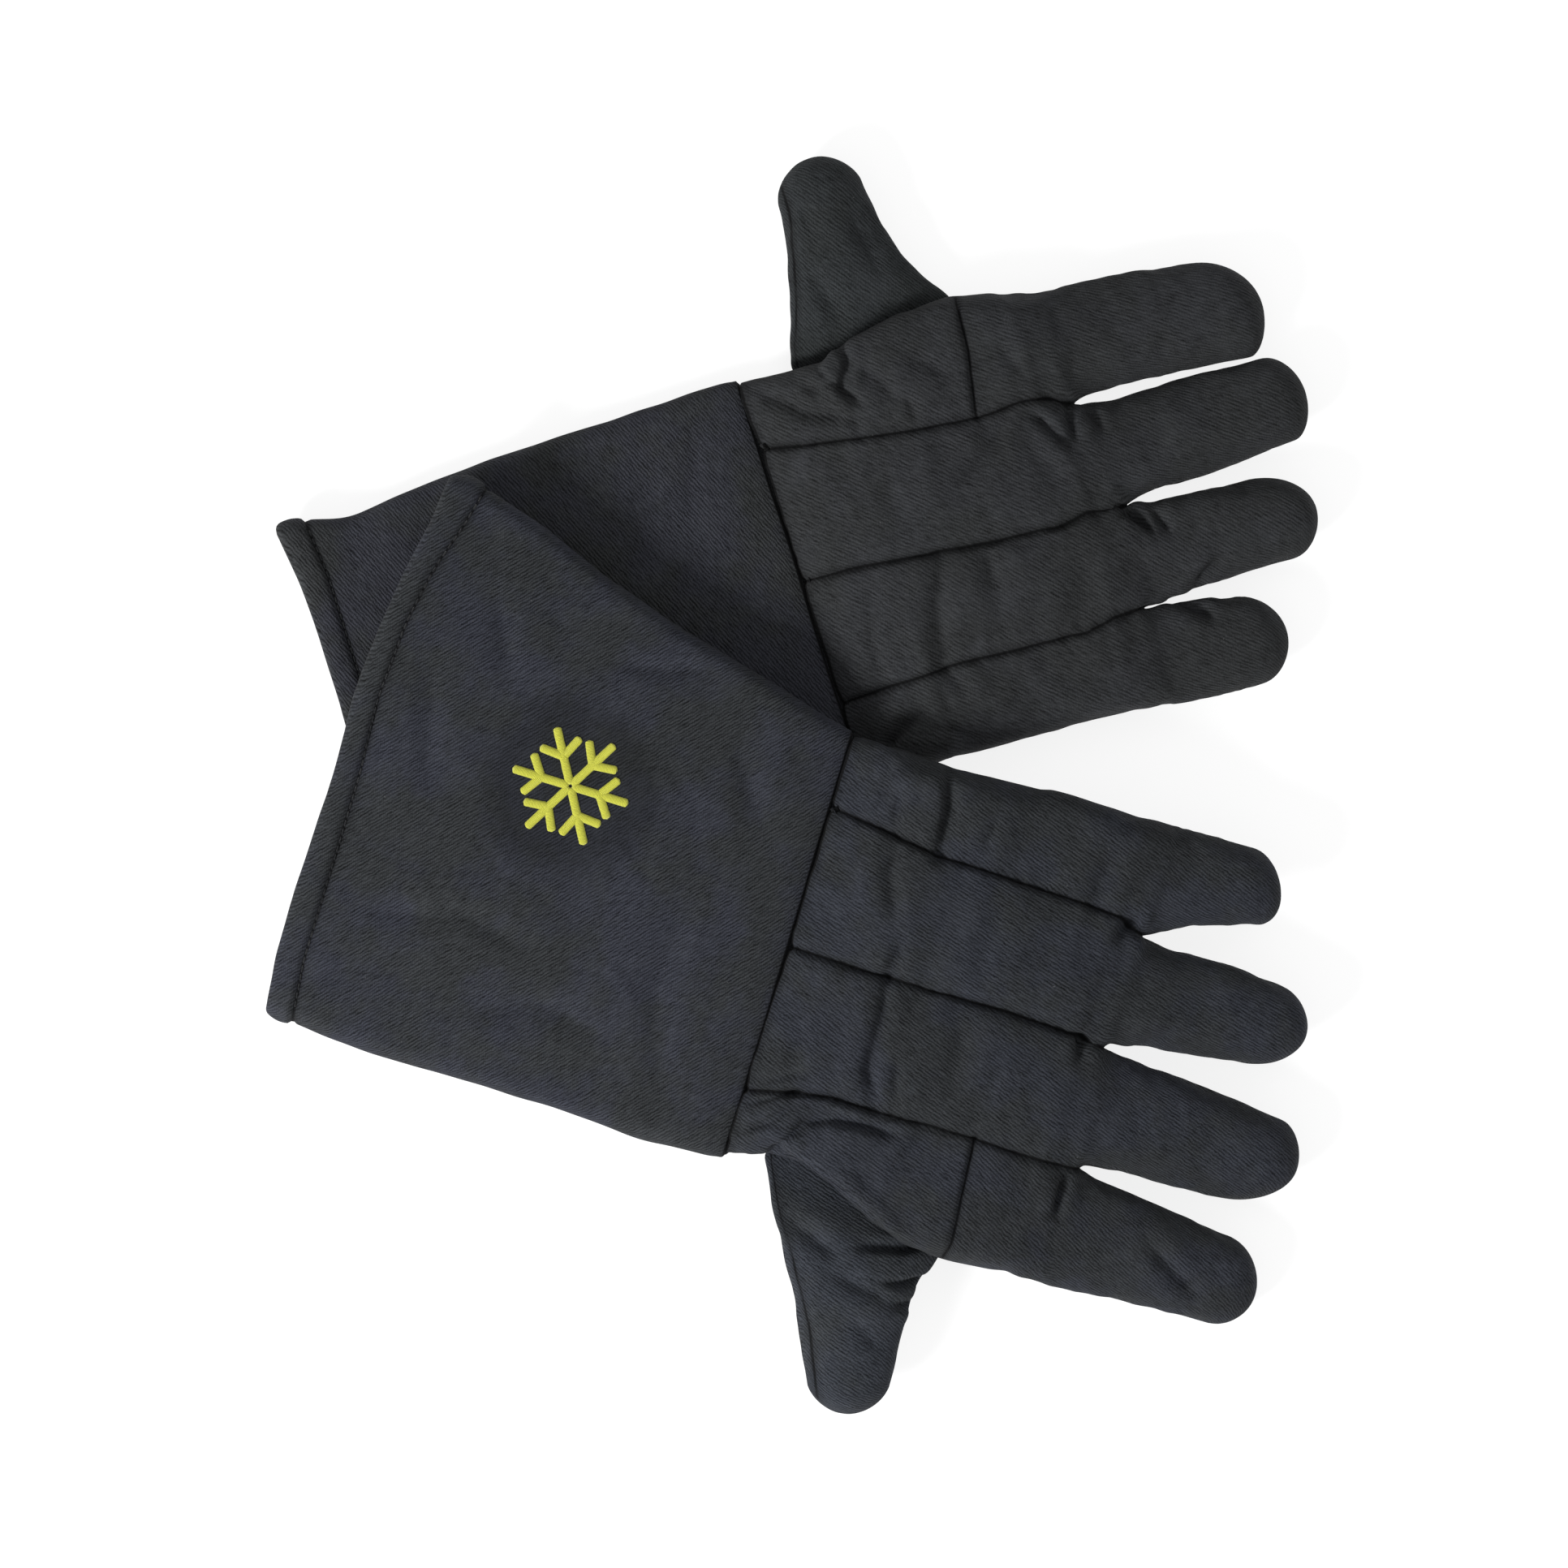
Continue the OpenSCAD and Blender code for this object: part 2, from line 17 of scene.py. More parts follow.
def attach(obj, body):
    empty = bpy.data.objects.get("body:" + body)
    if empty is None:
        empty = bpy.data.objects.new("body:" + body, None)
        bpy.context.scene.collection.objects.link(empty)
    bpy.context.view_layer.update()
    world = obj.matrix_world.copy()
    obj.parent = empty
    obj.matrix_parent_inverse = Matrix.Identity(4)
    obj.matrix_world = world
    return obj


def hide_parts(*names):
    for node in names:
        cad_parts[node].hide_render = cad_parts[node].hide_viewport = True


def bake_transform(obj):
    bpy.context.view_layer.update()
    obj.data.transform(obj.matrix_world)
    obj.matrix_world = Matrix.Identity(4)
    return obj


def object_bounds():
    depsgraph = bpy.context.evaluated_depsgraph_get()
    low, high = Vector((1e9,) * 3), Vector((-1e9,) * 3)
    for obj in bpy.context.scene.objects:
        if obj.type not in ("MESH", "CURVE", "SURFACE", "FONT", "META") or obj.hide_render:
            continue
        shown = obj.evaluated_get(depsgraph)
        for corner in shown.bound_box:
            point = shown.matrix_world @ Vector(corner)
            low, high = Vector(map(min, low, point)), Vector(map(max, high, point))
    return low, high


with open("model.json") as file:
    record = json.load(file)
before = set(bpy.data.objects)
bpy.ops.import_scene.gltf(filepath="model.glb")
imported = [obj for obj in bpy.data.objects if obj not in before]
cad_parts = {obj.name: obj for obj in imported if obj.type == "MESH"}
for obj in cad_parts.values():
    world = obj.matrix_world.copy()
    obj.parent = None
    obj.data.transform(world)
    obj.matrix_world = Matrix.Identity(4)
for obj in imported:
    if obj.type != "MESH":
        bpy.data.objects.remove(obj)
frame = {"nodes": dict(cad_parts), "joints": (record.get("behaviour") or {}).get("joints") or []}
CAD_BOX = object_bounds()
JOINTS = {j["name"]: j for j in frame["joints"]}

MM = 0.001
FINGERS = ("index", "middle", "ring", "little")
BACK, PALM = 1, -1      # the two faces of a glove
FAR = 50.0              # a distance at which a seam has no effect

# ---- Driving dimensions, in millimetres ----

BEND_U = 9.8            # the wrist's bend lies this far past the wrist seam
BEND_W = 9.0            # and this far above the underside
DROOP_U = (-2, 34)      # the hand takes up its droop between these
WRIST_T = 14.0          # thickness at the wrist seam
HAND_T = [(0, WRIST_T), (14, 19), (34, 24.5), (60, 26), (100, 25.5), (130, 23.5)]   # u, thickness
DIGIT_T = 22.5          # thickness of a finger
THUMB_T = [(-36, 6), (-20, 8), (-4, 12.5), (14, 18.5), (30, 20.5), (70, 19)]
ROW_W = 11.5            # height of a finger's middle above the underside
THUMB_W = 1.0           # height of the thumb's underside
EDGE_ROUND = {BACK: 11.0, PALM: 12.0}   # rounding of the hand's edge
PUFF = {BACK: 1.4, PALM: 0.0}           # how far each strip swells between its seams
THUMB_LAP = 4.0         # the back's edge is lifted this far, to lie over the thumb
LAP_RISE, LAP_FALL = (14, 34), (78, 90)     # u of the lift's two ends
TIP_ROUND = {"finger": 15.0, "thumb": 14.0}     # rounding of the tips, seen from the side
THUMB_BACK_ROUND = 8.0  # and of the thumb's hidden end
FINGER_BEND = -1.0      # fingers start to bend this far past their root bends
THUMB_BEND = -12.0      # and the thumb this far
HAND_BEND = 24.0        # the hand has taken up the wrist's bend here
LAYER_T = 1.6           # thickness that each piece of fabric is given
STRIP_COLS = 10         # columns across each strip of the back
HAND_ROWS = 30          # rows from the wrist seam to the crotches
FINGER_ROWS = 18        # rows from the crotch to the fingertip
THUMB_ROWS, THUMB_COLS = 22, 10
CUFF_ROWS, CUFF_COLS, LINING_ROWS = 42, 36, 22
LEVELS = 2              # subdivision of every net
CLOTH_SETTINGS = {
    "quality": 6, "mass": 0.3, "tension_stiffness": 18, "compression_stiffness": 18,
    "shear_stiffness": 6, "bending_stiffness": 0.8, "use_pressure": True,
    "uniform_pressure_force": 2.5, "shrink_min": -0.03, "vertex_group_mass": "held",
}
CLOTH_FRAMES = 20
SWELL = {"hand": 1.6, "thumb": 1.4}     # how far the simulation may move a vertex
HELD = {("seam", BACK): 0.85, ("edge", BACK): 0.6, ("rim", BACK): 0.6}     # held in place this much
CREASE_GAIN, THUMB_CREASE_GAIN = 1.45, 1.3      # applied to the heights of the creases
SEAM_ROW = 0.7          # the first row from a seam is this much narrower than the others
TUCK = [(-2.6, 5.0), (-0.1, 1.5)]       # the hand's edge turns in under the seam: u and depth
CUFF_TUCK = [(2.3, 4.6), (0.1, 1.5)]    # and so does the cuff's
CUFF_WALL = 4.6         # from the cuff's outside to its lining
MOUTH_V = (82.5, -136)  # the ends of the mouth
CUFF_PALM_SHIFT = 300.0     # the palm side is cut from this far away on the cloth

# Seams and edges of the back of the hand, as (u, v) points from the wrist seam to the crotches:
# thumb-side edge, index/middle seam, middle/ring seam, ring/little seam, little-finger edge.
LINES = {
    "right": [
        [(0, 83), (20, 81.5), (33, 81), (46, 86), (66, 89.5), (86, 90), (102, 86.6), (119, 81)],
        [(0, 55), (30, 49), (60, 44), (83, 41.5), (100, 42.3), (110, 41), (118, 36)],
        [(0, 2), (20, 1), (50, -2.5), (75, -5.5), (100, -7.4), (112, -6.2), (126, -7.3)],
        [(0, -47), (50, -46), (75, -48), (98, -49), (110, -47), (121, -46.6)],
        [(0, -81), (38, -80.5), (80, -82), (119, -84.5)],
    ],
    "left": [
        [(0, 84.5), (10, 81), (17, 79), (30, 79.5), (42, 84), (60, 92.5), (75, 97.5), (88, 99.5),
         (104, 98.5), (129, 96)],
        [(0, 58), (20, 53), (31, 50.6), (50, 51), (88, 50), (110, 51), (130, 50.4)],
        [(0, 1), (50, 0.5), (85, 0), (100, 0.5), (115, 1.5), (125, 3.3)],
        [(0, -54.5), (20, -52.5), (42, -49.6), (75, -49), (100, -48), (118, -46.5), (127, -42.2)],
        [(0, -84), (42, -83.6), (65, -84.5), (80, -86), (127, -85.6)],
    ],
}
CROSS_SEAM = {
    "right": [(82.5, 41.5), (87, 66), (88.5, 90)],
    "left": [(88.5, 50), (90, 70), (91.5, 90), (90.5, 100)],
}

# Each digit's outline about its own axis: stations (distance from the root bend, little-finger or
# index side, thumb or wrist side), then the length of the tip's rounding on each side and where
# across the tip its furthest point lies, from -1 to 1.
OUTLINES = {
    "right": {
        "index": ([(0, -20.7, 20.8), (30, -19.1, 21.4), (50, -19, 20.3), (77, -19, 19)],
            10, 25, -0.05),
        "middle": ([(0, -20, 20), (5, -18.4, 19.2), (12, -17.8, 19), (33, -18.2, 19),
            (55, -17, 17.6), (78, -15.5, 16.5)], 11, 13, 0),
        "ring": ([(0, -19, 18.8), (5, -18.3, 17.6), (15, -17.6, 17.4), (45, -16.6, 16.8),
            (67, -16, 16)], 15, 23, 0),
        "little": ([(0, -18.2, 18), (14, -18.2, 18.2), (30, -17.8, 16.8), (46, -16, 15.5)],
            13, 18, 0),
        "thumb": ([(-36, -30, 20), (-26, -36, 28), (-14, -36, 32), (-5, -32.3, 30), (3, -27, 27),
            (11, -22.4, 24.5), (25, -17.8, 20.7), (40, -15.6, 17.6), (59, -14, 15.5)], 15, 14, 0),
    },
    "left": {
        "index": ([(0, -22, 22.3), (15, -20, 20.8), (45, -17, 18.9), (76, -14, 17.5)], 17, 15, 0.1),
        "middle": ([(0, -22.5, 21), (18, -21.1, 19.5), (50, -18, 19.5), (79, -14, 17)], 12, 25, 0),
        "ring": ([(0, -20, 19.6), (10, -19, 18.3), (36, -18, 17), (68, -13.5, 15)], 15, 22, 0),
        "little": ([(-4, -21, 21.3), (3, -20.3, 18.5), (12, -19.5, 15), (33, -17.8, 10.5),
            (43, -16, 9)], 15, 7, 0.36),
        "thumb": ([(-36, -26, 24), (-27, -34, 33), (-15.6, -38, 30.7), (-4, -38, 28),
            (4, -37, 25.3), (9.7, -34.4, 23.8), (15.4, -29.8, 22.2), (24, -26.2, 19.7),
            (45, -22, 14.8), (70, -17, 9)], 13, 12, 0),
    },
}
PLUMP = 0.7             # added to a digit's outline, since smoothing draws it in
TIP_PLUMP = 2.0         # and to its tip
CUFF_PLUMP = 1.9        # and to the cuff's sides
TIP_POWER = 1.95        # roundness of the tips, seen from above
THUMB_INSIDE = 36.0     # how far the thumb stall reaches into the hand behind its bend

# Creases and folds of the back: points, height (below zero is a groove), half width and, for a
# groove, how much its ridge leans to the line's left (1) or right (-1)
CREASES = {
    "right": [
        ([(42, 83), (41.5, 76), (36, 67), (42, 60.5)], -3.0, 2.4, 0.3),
        ([(30, 77), (35, 68)], -2.2, 2.2), ([(36, 79), (38, 73)], 1.2, 4.0),
        ([(4, 78), (12, 71), (22, 62), (38, 55.5)], -2.2, 3.6, 0.4),
        ([(22, 74), (30, 67)], -1.6, 3.0), ([(44, 74), (52, 66), (56, 56)], -1.2, 4.0),
        ([(66, 19), (80, 28), (93, 38)], -1.9, 4.2, 0.4),
        ([(103, 37), (108, 29), (113, 21)], -2.6, 2.8, 0.5), ([(117, 35), (116.5, 24)], -2.6, 2.4),
        ([(124, 33), (127, 24)], -1.8, 2.4), ([(125, -9), (130, -15), (134, -21)], -3.4, 2.4, 0.5),
        ([(118, -14), (133, -27), (148, -30)], 1.2, 5.0), ([(136, -13), (140, -22)], -2.0, 2.6),
        ([(54, -6), (46, -22), (42, -45), (47, -56)], -1.9, 3.6, 0.4),
        ([(26, -8), (19, -24), (18, -44)], -1.5, 3.8), ([(71, -8), (70, -25)], -1.2, 4.5),
        ([(144, -44), (156, -37)], -2.0, 2.5), ([(134, -48), (146, -58)], -2.2, 2.6, 0.4),
        ([(10, -68), (26, -59)], -3.2, 3.4, 0.5), ([(34, -66), (46, -76)], -1.6, 3.6),
        ([(60, 47), (60, 58)], -1.4, 3.0), ([(64, 72), (78, 60)], -1.1, 5.0),
        ([(98, 66), (104, 52)], -1.2, 4.0),
    ],
    "left": [
        ([(16, 76), (24, 78), (34, 78.5), (46, 84), (62, 91)], -3.6, 2.2, 0.7),
        ([(30, 85), (44, 89), (58, 95)], 1.8, 3.0),
        ([(17, 78), (21, 70), (25, 63), (32, 58.5), (44, 58), (58, 57)], -3.4, 2.4, -0.7),
        ([(24, 76), (27, 69)], -2.4, 1.9), ([(30, 70), (40, 67), (54, 68)], 2.4, 5.5),
        ([(4, 73), (12, 67), (20, 57)], -2.2, 2.4, 0.4), ([(6, 81), (18, 73)], 1.2, 3.0),
        ([(5, 62), (14, 56), (22, 50)], -1.9, 2.8), ([(3, 55), (12, 49), (20, 44)], -1.4, 3.2),
        ([(48, 49), (41, 36), (40, 15), (38, 0)], -2.0, 3.2, 0.5),
        ([(54, 44), (50, 30)], -1.2, 3.0), ([(38, -2), (39, -14)], -1.8, 3.0),
        ([(34, -20), (27, -38), (26, -52)], -1.8, 3.4, 0.4),
        ([(43, -50), (42, -66), (37, -82)], -2.4, 2.8, 0.5), ([(24, -54), (23, -68)], -1.6, 2.6),
        ([(59, -54), (60, -70)], -1.2, 3.5), ([(17, -60), (17, -78)], -1.4, 3.0),
        ([(14, 44), (13, 26)], -1.2, 4.0), ([(127, 68), (126, 54)], -2.8, 2.4, 0.4),
        ([(117, 10), (116, 1)], -2.4, 2.6), ([(118, -40), (123, -46)], -1.8, 2.8),
        ([(140, -3), (150, -10)], -1.3, 3.0), ([(104, -52), (108, -64)], -1.3, 4.0),
        ([(72, 10), (74, 40)], -0.9, 6.0), ([(188, 84), (176, 77), (165, 70)], -1.6, 3.0),
        ([(86, -20), (98, -34)], -1.1, 5.0),
    ],
}
# The same along and across the thumb
THUMB_CREASES = {
    "right": [
        ([(-2, 8), (18, 14)], -1.6, 4.0), ([(10, -12), (34, -8)], -1.1, 4.0),
        ([(30, 8), (44, 10)], -0.9, 4.0),
    ],
    "left": [
        ([(2, -34), (6, -22), (6, -6)], -3.0, 2.2, 0.5),
        ([(12, -34), (14, -20), (13, -10)], 1.8, 2.6),
        ([(17, -32), (19, -22), (19, -12)], -2.4, 2.2), ([(27, -28), (28, -20)], -1.8, 2.2),
        ([(16, 6), (26, -18)], -1.6, 3.6), ([(-4, 24), (10, 4)], -1.6, 3.6),
        ([(34, -4), (44, -14)], -1.0, 3.4),
    ],
}
CUFF_CREASES = {
    "right": [
        ([(-128, 74), (-118, 30), (-122, -20)], -1.4, 7.0, 0.3),
        ([(-40, 60), (-70, 20)], -1.2, 8.0), ([(-20, 72), (-34, 40)], -1.1, 5.0),
    ],
    "left": [
        ([(-92, -83), (-76, -86), (-60, -91)], -1.7, 4.5, 0.4),
        ([(-143, -92), (-131, -66)], -1.5, 5.0, 0.3),
        ([(-150, 34), (-120, 26), (-96, 30)], -1.7, 5.0, 0.4),
        ([(-112, 62), (-84, 50), (-60, 54)], -1.6, 5.5), ([(-160, -60), (-150, -20)], -1.4, 6.0),
        ([(-30, 70), (-44, 30), (-40, 0)], -1.5, 7.0, 0.3), ([(-24, -40), (-40, -66)], -1.3, 6.0),
        ([(-165, 70), (-150, 50)], -1.4, 5.0),
    ],
}
GRAIN = {       # direction of the twill in each panel, in degrees
    "right": {"cuff": -65, "back": -45, "palm": 40, "thumb": -52},
    "left": {"cuff": -47, "back": 18, "palm": -30, "thumb": 16},
}

# The cuff, seen from above: (u, v) of its sides, and (v, u) of its mouth
CUFF_THUMB_EDGE = {
    "right": [
        (-190, 84), (-183, 82), (-171, 80.6), (-158, 77.4), (-130, 80), (-100, 82.2), (-60, 82.8),
        (-20, 83.6), (0, 83),
    ],
    "left": [(-190, 82.5), (-165, 84), (-130, 86), (-90, 85.6), (-30, 86.4), (-8, 85.4), (0, 84.5)],
}
CUFF_LITTLE_EDGE = {
    "right": [
        (-190, -141), (-168, -136), (-135, -124), (-105, -112), (-75, -102), (-35, -91), (0, -81),
    ],
    "left": [
        (-190, -130), (-176, -131.8), (-167, -133.8), (-158, -131), (-135, -124), (-105, -112),
        (-75, -102), (-35, -92), (-14, -86), (0, -84),
    ],
}
MOUTH = {
    "right": [
        (-141, -166), (-120, -169.5), (-86, -177), (-40, -181), (0, -181.5), (60, -181.5),
        (83, -184),
    ],
    "left": [
        (-141, -173.5), (-133, -174.5), (-117, -175.6), (-95, -179.6), (-73, -182.2), (-43, -184),
        (-15, -183), (60, -184), (84, -181.5),
    ],
}
# Width of the folded hem at places across the cuff
HEM = {
    "right": [(0, 9.5)],
    "left": [(-133, 14), (-120, 11.6), (-99, 8.9), (-77, 7.4), (-46, 7.4), (20, 9), (60, 9.5)],
}
CUFF_T = [(-190, 21.5), (-150, 20), (-60, 18.5), (-14, 16.5), (0, WRIST_T)]     # u, thickness
CUFF_MIDDLE = [(-190, 10.4), (-60, 9.2), (0, WRIST_T / 2)]      # u, height of its middle
LINING_U = -400.0       # the lining's rest coordinates count back from here
CUFF_ROUND = 8.5        # rounding of the cuff's sides

BADGE_AT = np.array([-97.0, -33.0])
BADGE_SPAN = 46.0
BRANCH = (0.5, 55, 0.42)    # place, angle and length of a side branch, as shares of an arm
BAR_W, BAR_H = 3.3, 0.9     # a satin-stitched bar
BAR_SIDES = 8               # facets over the crown of a bar
THREAD_PITCH = 0.42
STITCH, STITCH_GAP = 2.7, 0.7
STITCH_W, STITCH_H = 0.75, 0.4
LAY_FROM = 50.0             # threads are dropped onto the cuff from this height

CLOTHS = {      # two colours that the cloth drifts between, and the pitch and strength of its twill
    "right": {
        "hand": ((0.0136, 0.0143, 0.0126), (0.0164, 0.017, 0.018), 1.35, 0.42),
        "thumb": ((0.0132, 0.0163, 0.014), (0.0155, 0.019, 0.0186), 1.35, 0.5),
        "cuff": ((0.021, 0.0228, 0.0215), (0.0243, 0.0255, 0.036), 1.2, 0.65),
    },
    "left": {
        "hand": ((0.0138, 0.016, 0.0165), (0.0176, 0.0208, 0.0314), 1.25, 0.6),
        "thumb": ((0.0217, 0.0256, 0.0285), (0.0254, 0.0306, 0.0415), 1.25, 0.6),
        "cuff": ((0.0215, 0.024, 0.025), (0.026, 0.0285, 0.044), 1.15, 0.65),
    },
}
LINING = ((0.05, 0.052, 0.058), (0.06, 0.062, 0.07), 0.8, 0.5)      # the same for the lining
HEM_DARK = 0.85         # strength of the dark line along the hem's stitches
HEM_THREAD = ((0.005, 0.0055, 0.0065), (0.018, 0.020, 0.023), 0.02)     # two colours and the sheen
BADGE_THREAD = ((0.42, 0.42, 0.02), (0.82, 0.83, 0.07), 0.3)

# ---- Camera and lights, in metres: place, size and power of each light ----

VIEW_AT, VIEW_H = (-0.0036, 0.0008), 0.02
VIEW_WIDTH = 0.599      # seen at the height VIEW_H
LENS, SENSOR = 250, 36
LIGHTS = {"key": ((-1.2, -1.0, 1.1), 0.5, 38), "fill": ((0.9, 1.0, 1.8), 1.4, 3)}

# ---- Small helpers ----

def smooth(x, lo, hi):
    """0 below lo, 1 above hi, and an even curve between"""
    t = np.clip((np.asarray(x, float) - lo) / (hi - lo), 0, 1)
    return t * t * (3 - 2 * t)


def along(points, x):
    """The second value of a list of points, interpolated at x of the first"""
    p = np.array(points, float)
    return np.interp(x, p[:, 0], p[:, 1])


def bell(x, width):
    return np.exp(-(x / width) ** 2)


def unit(v):
    v = np.asarray(v, float)
    return v / np.linalg.norm(v)


def heading(angle):
    return np.array([math.cos(angle), math.sin(angle)])


def distance(points, line):
    """Distance of each (u, v) point from a polyline, and how far along it that is, from 0 to 1"""
    p = np.asarray(line, float)
    steps = np.linalg.norm(np.diff(p, axis=0), axis=1)
    starts = np.concatenate([[0], np.cumsum(steps)])
    best = np.full(len(points), 1e9)
    where = np.zeros(len(points))
    for a, b, step, start in zip(p[:-1], p[1:], steps, starts):
        t = np.clip((points - a) @ (b - a) / step ** 2, 0, 1)
        d = np.linalg.norm(points - (a + t[:, None] * (b - a)), axis=1)
        nearer = d < best
        best[nearer] = d[nearer]
        where[nearer] = (start + t * step)[nearer] / starts[-1]
    return best, where


def side_of(points, line):
    """Which side of a line each point lies on: 1 to its left, -1 to its right"""
    line = np.asarray(line, float)
    du, dv = line[-1] - line[0]
    off = points - line.mean(0)
    return np.sign(du * off[:, 1] - dv * off[:, 0])


def waves(glove, uv, side, layers):
    """Smooth noise over the cloth, different on the back and on the palm. Each layer has a height,
    the size of its lumps, a seed, a stretch and how much of it each point takes."""
    add = np.zeros(len(uv))
    for height, size, seed, stretch, share in layers:
        shift = Vector((17.3, 5.1, 9.7)) * (glove.seed + seed)
        points = np.column_stack([uv * stretch, side * 9])
        add += height * np.array([noise.noise(Vector(p) / size + shift) for p in points]) * share
    return add


def vectors(data, key):
    """A vector property of each item of a mesh's data"""
    values = np.zeros(len(data) * 3, np.float32)
    data.foreach_get(key, values)
    return values.reshape(-1, 3).astype(float)


def numbers(data, key):
    values = np.zeros(len(data), np.int32)
    data.foreach_get(key, values)
    return values


def write(data, key, values, kind=np.float32):
    data.foreach_set(key, np.asarray(values).astype(kind).ravel())


def per_corner(mesh, values):
    """Per-vertex values read out at each face's four corners"""
    return values[numbers(mesh.loops, "vertex_index").reshape(-1, 4)]


def attribute(mesh, name):
    return vectors(mesh.attributes[name].data, "vector")


def add_uv(mesh, name, values):
    write(mesh.uv_layers.new(name=name).data, "uv", values)


def smooth_faces(mesh):
    write(mesh.polygons, "use_smooth", np.ones(len(mesh.polygons)), bool)


def link(name, mesh):
    obj = bpy.data.objects.new(name, mesh)
    bpy.context.scene.collection.objects.link(obj)
    return obj


def new_object(name, verts, faces):
    mesh = bpy.data.meshes.new(name)
    mesh.from_pydata([tuple(v) for v in verts], [], [tuple(f) for f in faces])
    mesh.validate()
    bm = bmesh.new()
    bm.from_mesh(mesh)
    bmesh.ops.recalc_face_normals(bm, faces=bm.faces)
    bm.to_mesh(mesh)
    bm.free()
    return link(name, mesh)


def dress(obj, slot, *cloths):
    obj.data.materials.clear()
    for cloth in cloths:
        obj.data.materials.append(cloth)


def turned(coords, degrees):
    """Cloth coordinates turned so that the twill runs along the first of them"""
    a = np.radians(degrees)
    c, s = np.cos(a), np.sin(a)
    x, y = coords[..., 0], coords[..., 1]
    return np.stack([x * c + y * s, -x * s + y * c], -1)


def rolled(k, radius):
    """Extra cloth length at k (0 at the edge, 1 inside) of a round edge, beyond its width"""
    return radius * (math.pi / 2 - math.acos(1 - k) - (1 - k))


# ---- Gloves in the frame ----

class Glove:
    """One glove's axes and digits, read from the CAD joints and nodes"""

    def __init__(self, side):
        self.side = side
        self.seed = 1 if side == "right" else 2
        wrist = JOINTS[f"{side}_wrist_bend"]
        axis = unit(wrist["axis"])
        normal = unit(np.cross(axis, JOINTS[f"{side}_thumb_root_bend"]["axis"]))
        self.hand = self.axes(wrist["pos_m"], axis, normal * np.sign(normal[2]))
        self.cuff = self.axes(wrist["pos_m"], unit([axis[0], axis[1], 0]), np.array([0, 0, 1.0]))
        self.digits = {name: self.digit(name) for name in FINGERS + ("thumb",)}

    def axes(self, bend, axis, normal):
        """Origin and the u, v and w directions, for a wrist bend and its axis"""
        u = unit(np.cross(axis, normal))
        to_thumb = 1 if self.side == "right" else -1
        origin = np.array(bend) - (BEND_U * u + BEND_W * normal) * MM
        return origin, np.array([u, axis * to_thumb, normal])

    def local(self, points):
        origin, basis = self.hand
        return (np.asarray(points, float) - origin) @ basis.T / MM

    def place(self, points, cuff=False):
        """Glove millimetres to row-frame metres. The hand takes up its droop past the wrist."""
        points = np.asarray(points, float)
        level, drooped = (points @ basis * MM + origin for origin, basis in (self.cuff, self.hand))
        share = 0 if cuff else smooth(points[:, 0], *DROOP_U)[:, None]
        return level * (1 - share) + drooped * share

    def digit(self, name):
        """Root bend, directions, distance to the middle bend and to the tip of a finger or thumb"""
        bends = (JOINTS[f"{self.side}_{name}_{bend}_bend"] for bend in ("root", "middle"))
        root, middle = self.local([bend["pos_m"] for bend in bends])
        forward = unit(middle - root)
        shell = frame["nodes"][f"{self.side}_{name}_tip_shell"].data
        tip = self.local(vectors(shell.vertices, "co")) - root
        return {"root": root, "forward": forward, "across": np.array([-forward[1], forward[0], 0]),
                "bend_l": np.linalg.norm(middle - root), "reach": (tip @ forward).max()}

    def at(self, name, s):
        """A place on a digit's axis, s past its root bend"""
        d = self.digits[name]
        return tuple(self.place([d["root"] + d["forward"] * s])[0])


# ---- Nets: quad meshes with their own coordinates ----

class Net:
    """Collects shared vertices and quads. Each vertex has a place, its rest coordinates (u, v and
    the side: 1 back, -1 palm, 0 edge) and its cloth coordinates, which are (u, v) unrolled over
    the rounded edges, so that the twill keeps its scale there."""

    def __init__(self):
        self.index, self.places, self.rest, self.pin = {}, [], [], []
        self.cloth, self.faces, self.part = [], [], []

    def vertex(self, key, place, rest, pin=0.0, roll=(0.0, 0.0)):
        self.index[key] = len(self.places)
        self.places.append(place)
        self.rest.append(rest)
        self.pin.append(pin)
        self.cloth.append((rest[0] + roll[0], rest[1] + roll[1], 0.0))

    def quad(self, keys, part):
        self.faces.append([self.index[k] for k in keys])
        self.part.append(part)

    def lay(self, key, rows, cols, point):
        """A vertex for each new key(row, col, face), from what point() gives for it"""
        for face in (BACK, PALM):
            for row in range(rows + 1):
                for col in range(cols + 1):
                    k = key(row, col, face)
                    if k not in self.index:
                        self.vertex(k, *point(k, row, col, face))

    def grid(self, key, face, rows, cols, part):
        """A quad for each row and column of key(row, col, face)"""
        for row in rows:
            for col in range(cols):
                keys = [key(row, col, face), key(row, col + 1, face),
                        key(row + 1, col + 1, face), key(row + 1, col, face)]
                self.quad(keys[::face], part)


